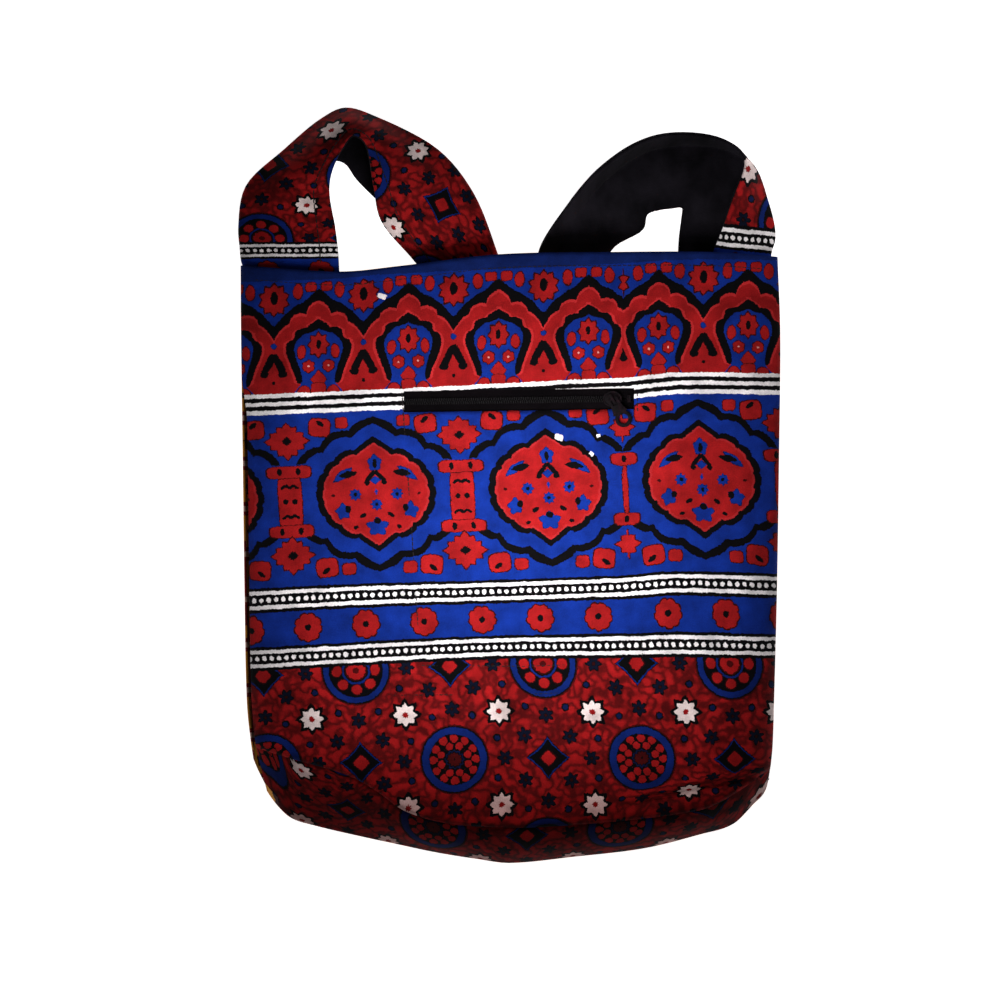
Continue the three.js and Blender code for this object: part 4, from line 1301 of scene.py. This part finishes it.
def intoZip(piece, finish, turn=0.0, at=(0, 0, 0)):
    # softens the edges, then puts the piece in its place in the zip
    finishWith(piece, "BEVEL", width=castEdge["bevel"] * mm, segments=2, limit_method="ANGLE",
               angle_limit=castEdge["sharp"])
    piece.data.transform(zipFrame @ Matrix.Translation(Vector(at) * mm) @ Matrix.Rotation(turn, 4, "Z"))
    piece.data.materials.clear()
    piece.data.materials.append(finish)
    pickOnly(piece)
    bpy.ops.object.shade_smooth_by_angle(angle=castEdge["smooth"])
    piece.select_set(False)
    return piece


def enamelledZinc():
    # die-cast zinc under thin black enamel: dark and half glossy, rubbed brown in patches
    finish, tree = newFinish("black_enamelled_zinc")
    spot = addNode(tree, "TexCoord", out=3)
    rub = addNode(tree, "TexNoise", {"Vector": spot, "Scale": 350.0, "Detail": 4.0, "Roughness": 0.6})
    rub = addNode(tree, "MapRange", {0: rub, 1: 0.45, 2: 0.7, 3: 0.0, 4: 1.0})
    shade = overprint(tree, dye("#070406"), dye("#1A0E13"), rub)
    rough = addNode(tree, "MapRange", {0: rub, 1: 0.0, 2: 1.0, 3: 0.62, 4: 0.78})
    # casting grain about 0.3 mm across
    grain = addNode(tree, "TexNoise", {"Vector": spot, "Scale": 3000.0, "Detail": 2.0})
    bump = addNode(tree, "Bump", {"Strength": 0.12, "Distance": 0.0001, "Height": grain})
    return coat(finish, {
        "Base Color": shade, "Roughness": rough, "IOR": 1.5, "Specular IOR Level": 0.04, "Normal": bump,
    })


def nylonCoil():
    # drawn nylon monofilament: black, smooth, with a slight waxy shine
    finish, tree = newFinish("black_nylon_monofilament")
    spot = addNode(tree, "TexCoord", out=3)
    dust = addNode(tree, "TexNoise", {"Vector": spot, "Scale": 500.0, "Detail": 3.0})
    shade = overprint(tree, dye("#040304"), dye("#0D0A0C"), dust)
    return coat(finish, {
        "Base Color": shade, "Roughness": 0.6, "IOR": 1.53, "Specular IOR Level": 0.1,
    })


zinc, nylon = enamelledZinc(), nylonCoil()

# one turn of the coil on each side, slanted and set half a pitch apart, repeated along the zip
coil = {
    "from": -75.0, "pitch": 1.5, "count": 92, "low": 0.3, "high": 1.85, "reach": 2.2, "cross": 0.12,
    "bar": 0.46, "edge": 0.3, "slant": 9, "pivot": 1.0,
}
coilSides = []
for side in (1, -1):
    x = coil["from"] + (coil["pitch"] / 2 if side < 0 else 0)
    near, far = sorted((side * -coil["cross"], side * coil["reach"]))
    low, high = (x - coil["bar"], near, coil["low"]), (x + coil["bar"], far, coil["high"])
    bar = startBox("zip_coil_turns", low, high)
    pickFaces(bar, lambda middle, normal: True)
    bpy.ops.mesh.bevel(offset=coil["edge"] * mm, segments=1, affect="EDGES")
    bpy.ops.mesh.select_all(action="SELECT")
    bpy.ops.transform.rotate(value=math.radians(coil["slant"] * side), orient_axis="Z",
                             center_override=(x * mm, side * coil["pivot"] * mm, 0))
    bpy.ops.object.mode_set(mode="OBJECT")
    finishWith(bar, "ARRAY", count=coil["count"], use_relative_offset=False, use_constant_offset=True,
               constant_offset_displace=(coil["pitch"] * mm, 0, 0))
    coilSides.append(bar)
zipCoil = joinPieces(coilSides)
zipCoil.data.transform(zipFrame)
zipCoil.data.materials.append(nylon)

# slider: an oval shell over the coil, a plate under the tapes, the post between them and the bridge
slider = {
    "at": 61.6, "long": 6.2, "oval": 5.2 / 6.2, "shell": (0.28, 3.2), "rim": (0.9, -0.35),
    "boss": (0.35, 0.45), "channel": ((50, -2.55, -1), (75, 2.55, 2.2)),
    "foot": (-2.1, -1.1), "dish": (1.0, 0.2),
    "post": ((64.8, -0.7, -1.4), (67.2, 0.7, 2.9)), "leg": ((-3.2, -0.8, 2.8), (-2.2, 0.8, 5.3)),
    "span": 4.4, "thick": 1.0, "turn": -61,
}
shell = startDisc("zip_slider_body", slider["at"], slider["long"], *slider["shell"], slider["oval"])
pickFaces(shell, lambda middle, normal: normal.z > facing)
insetAndPush(*slider["rim"])
insetAndPush(*slider["boss"])
bpy.ops.object.mode_set(mode="OBJECT")
cutWith(shell, startBox("channel", *slider["channel"]), "DIFFERENCE")
foot = startDisc("foot", slider["at"], slider["long"], *slider["foot"], slider["oval"])
pickFaces(foot, lambda middle, normal: normal.z < -facing)
insetAndPush(*slider["dish"])
bpy.ops.object.mode_set(mode="OBJECT")
post = startBox("post", *slider["post"])
# the bridge grows out of one leg: up, across to the other side and down again
low, high = slider["leg"]
bridge = startBox("bridge", low, high)
pickFaces(bridge, lambda middle, normal: normal.z > facing)
pushFaces(z=slider["thick"])
pickFaces(bridge, lambda middle, normal: normal.x > facing and middle.z > high[2])
pushFaces(x=slider["span"])
pushFaces(x=slider["thick"])
pickFaces(bridge, lambda middle, normal: normal.z < -facing and middle.x > high[0] + slider["span"])
pushFaces(z=low[2] - high[2])
bpy.ops.object.mode_set(mode="OBJECT")
pullTurn = math.radians(slider["turn"]) - zipWindow["turn"]
bridge.data.transform(Matrix.Translation((slider["at"] * mm, 0, 0)) @ Matrix.Rotation(pullTurn, 4, "Z"))
zipSlider = intoZip(joinPieces([shell, foot, post, bridge]), zinc)

# pull: an eye round the bridge, a tab that widens and a round end with a hole
pull = {
    "tab": ((-0.7, -3.5, -0.6), (4.8, 3.5, 0.6)), "widens": [(3.4, 1.22), (2.6, 1.2)],
    "end": 15.0, "radius": 5.6, "thick": 0.6, "hole": 3.1, "through": 2,
    "eye": ((0.6, -1.6, -2), (4.4, 1.6, 2)), "axis": 4.2,
}
tab = startBox("zip_pull_tab", *pull["tab"])
pickFaces(tab, lambda middle, normal: normal.x > facing)
for run, wider in pull["widens"]:
    pushFaces(x=run)
    bpy.ops.transform.resize(value=(1, wider, 1))
bpy.ops.object.mode_set(mode="OBJECT")
cutWith(tab, startDisc("end", pull["end"], pull["radius"], -pull["thick"], pull["thick"]), "UNION")
cutWith(tab, startDisc("hole", pull["end"], pull["hole"], -pull["through"], pull["through"]), "DIFFERENCE")
cutWith(tab, startBox("eye", *pull["eye"]), "DIFFERENCE")
zipPull = intoZip(tab, zinc, pullTurn, (slider["at"], 0, pull["axis"]))

# end stop, folded over both tapes
stopPlan = {"box": ((71.4, -2.4, 0.3), (73.8, 2.4, 1.5)), "dent": (0.5, -0.3)}
stop = startBox("zip_end_stop", *stopPlan["box"])
pickFaces(stop, lambda middle, normal: normal.z > facing)
insetAndPush(*stopPlan["dent"])
bpy.ops.object.mode_set(mode="OBJECT")
zipStop = intoZip(stop, zinc)
print("zip", len(zipCoil.data.polygons), len(zipSlider.data.polygons), len(zipPull.data.polygons))


# Stitching: one lock stitch, modelled once and copied along each seam
thread = {
    "long": 2.9, "pitch": 3.3, "radius": 0.4, "rise": 0.12, "straight": 0.7, "dip": 0.7, "taper": 0.45,
}


def cottonThread():
    # twisted black sewing thread, matt, with its plies 0.5 mm apart
    finish, tree = newFinish("black_sewing_thread")
    spot = addNode(tree, "TexCoord", out=3)
    ply = addNode(tree, "TexWave", {"Vector": spot, "Scale": 630.0, "Distortion": 1.0}, out=1,
                  bands_direction="DIAGONAL")
    shade = overprint(tree, dye("#0B080A"), dye("#1C1416"), ply)
    bump = addNode(tree, "Bump", {"Strength": 0.4, "Distance": 0.0001, "Height": ply})
    return coat(finish, {
        "Base Color": shade, "Roughness": 0.8, "IOR": 1.5, "Specular IOR Level": 0.2, "Normal": bump,
    })


threadFinish = cottonThread()
stitch = startPiece("stitch", "cylinder", vertices=6, radius=thread["radius"] * mm,
                    depth=thread["long"] * thread["straight"] * mm, rotation=(0, math.pi / 2, 0))
for side in (1, -1):
    pickFaces(stitch, lambda middle, normal: normal.x * side > facing)
    pushFaces(x=side * thread["long"] * (1 - thread["straight"]) / 2, z=-thread["radius"] * thread["dip"])
    bpy.ops.transform.resize(value=(1, thread["taper"], thread["taper"]))
    bpy.ops.object.mode_set(mode="OBJECT")


def stitchRow(name, path, ups):
    # lays stitches along a path in millimetres; ups are the cloth's normals along it
    pieces, reach, k = [], thread["pitch"] / 2, 0
    lengths = [0.0]
    for a, b in zip(path, path[1:]):
        lengths.append(lengths[-1] + (b - a).length)
    while reach < lengths[-1] - thread["pitch"] / 2:
        while lengths[k + 1] < reach:
            k += 1
        share = (reach - lengths[k]) / (lengths[k + 1] - lengths[k])
        spot, up = path[k].lerp(path[k + 1], share), ups[k].lerp(ups[k + 1], share).normalized()
        along = (path[k + 1] - path[k]).normalized()
        side = up.cross(along).normalized()
        turn = Matrix((along, side, along.cross(side))).transposed().to_4x4()
        mesh = stitch.data.copy()
        mesh.transform(Matrix.Translation((spot + up * thread["rise"]) * mm) @ turn)
        piece = bpy.data.objects.new(name, mesh)
        bpy.context.collection.objects.link(piece)
        pieces.append(piece)
        reach += thread["pitch"]
    row = joinPieces(pieces)
    row.data.materials.append(threadFinish)
    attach(row, "bag")


def frontPath(points, step=2.0):
    # a path over the front panel, with its normals
    path = []
    for a, b in zip(points, points[1:]):
        count = max(int((Vector(b) - Vector(a)).length / step), 1)
        path += [Vector(frontSpot(*Vector(a).lerp(Vector(b), k / count))) for k in range(count)]
    path.append(Vector(frontSpot(*points[-1])))
    ups = []
    for spot in path:
        x, y = spot.x, spot.y
        slopeX = (frontHeight(x + 1, y) - frontHeight(x - 1, y)) / 2
        slopeY = (frontHeight(x, y + 1) - frontHeight(x, y - 1)) / 2
        ups.append(Vector((-slopeX, -slopeY, 1)).normalized())
    return path, ups


hemLine = [(x, readRows(bag["mouth"], x) - bag["hem"]) for x in range(-168, 172, 12)]
stitchRow("hem_stitches", *frontPath(hemLine))
for k, seam in enumerate(pocket["seams"]):
    stitchRow("pocket_stitches_" + "abcd"[k], *frontPath(seam))
lift = half + strap["printThick"]
line, stitched = strap["stitchLine"], strap["stitched"]
ups = [normals[line] for normals in strapNormals][stitched]
stitchRow("strap_stitches", [row[line] + up * lift for row, up in zip(strapGrid[stitched], ups)], ups)
bpy.data.objects.remove(stitch, do_unlink=True)
print("stitches ready")

for piece, body, node, slot in (
    (tapeUpper, "bag", "zip_tape_upper", "zip_tape"), (tapeLower, "bag", "zip_tape_lower", "zip_tape"),
    (zipCoil, "bag", "zip_coil", "zip_nylon"), (zipSlider, "bag", "zip_slider", "zip_metal"),
    (zipPull, "pull", "zip_pull", "zip_metal"), (zipStop, "bag", "zip_stop", "zip_metal"),
    (frontPanel, "bag", "front_panel", "printed_cotton"), (basePanel, "bag", "base_panel", "printed_cotton"),
    (backPanel, "bag", "back_panel", "back_cotton"), (strapPrint, "bag", "strap_print", "printed_cotton"),
    (strapLining, "bag", "strap_lining", "black_cotton"),
):
    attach(piece, body)
    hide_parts(node)


# Floor, light and camera
def lightTable():
    # opal acrylic lit from below, so that the ground stays as white as in the photograph
    finish, tree = newFinish("opal_acrylic")
    spot = addNode(tree, "TexCoord", out=3)
    tooth = addNode(tree, "TexNoise", {"Vector": spot, "Scale": 400.0, "Detail": 3.0})
    bump = addNode(tree, "Bump", {"Strength": 0.05, "Distance": 0.0002, "Height": tooth})
    return coat(finish, {
        "Base Color": dye("#F4F4F4"), "Roughness": 0.6, "Emission Color": dye("#FFFFFF"),
        "Emission Strength": studio["table"], "Normal": bump,
    })


# each lamp has its power, its size or the radius that it lights, and its place from the aim
studio = {
    "floor": 6, "floorDrop": 0.0004, "slantSoft": 0.08,
    "aim": Vector((0.006, -0.012, 0.03)), "sky": 0.055, "table": 1.0,
    "key": (0.9, 0.12, Vector((0.0, 0.0, 0.18))), "slant": (9, 0.27, Vector((-0.72, -0.1, 0.62))),
    "fill": (0.14, 0.06, Vector((0.254, 0.262, 0.08))),
}
bpy.ops.mesh.primitive_plane_add(size=studio["floor"], location=(0, 0, -studio["floorDrop"]))
floor = bpy.context.active_object
floor.name = "light_table"
bpy.ops.object.transform_apply(location=True, rotation=True, scale=True)
floor.data.materials.append(lightTable())
floor.select_set(False)

world = bpy.data.worlds.new("studio")
bpy.context.scene.world = world
world.use_nodes = True
world.node_tree.nodes["Background"].inputs[0].default_value = (1, 1, 1, 1)
world.node_tree.nodes["Background"].inputs[1].default_value = studio["sky"]
# a low soft key over the middle of the bag, so the light falls off towards the corners,
# a slanting spot that brings out the folds, and a small lamp low beyond the strap's right loop
for name, kind in (("key", "AREA"), ("slant", "SPOT"), ("fill", "AREA")):
    energy, size, place = studio[name]
    lamp = bpy.data.lights.new(name, kind)
    lamp.energy = energy
    if kind == "SPOT":
        lamp.spot_size = 2 * math.atan(size / place.length)
        lamp.spot_blend = 1.0
        lamp.shadow_soft_size = studio["slantSoft"]
    else:
        lamp.size = size
    holder = bpy.data.objects.new(name, lamp)
    holder.location = studio["aim"] + place
    holder.rotation_euler = (-place).to_track_quat("-Z", "Y").to_euler()
    holder.visible_camera = False
    bpy.context.collection.objects.link(holder)

# the frame is as wide as the photograph at the middle of the bag's height
view = {"centre": (-5.9, -9.2), "frame": 660, "height": 4.0, "middle": 0.02, "sensor": 36}
lens = bpy.data.cameras.new("above")
lens.sensor_width = view["sensor"]
lens.lens = view["sensor"] * (view["height"] - view["middle"]) / (view["frame"] * mm)
camera = bpy.data.objects.new("above", lens)
camera.location = (view["centre"][0] * mm, view["centre"][1] * mm, view["height"])
bpy.context.collection.objects.link(camera)
bpy.context.scene.camera = camera
bpy.context.scene.view_settings.view_transform = "Standard"
print("floor, light and camera ready")
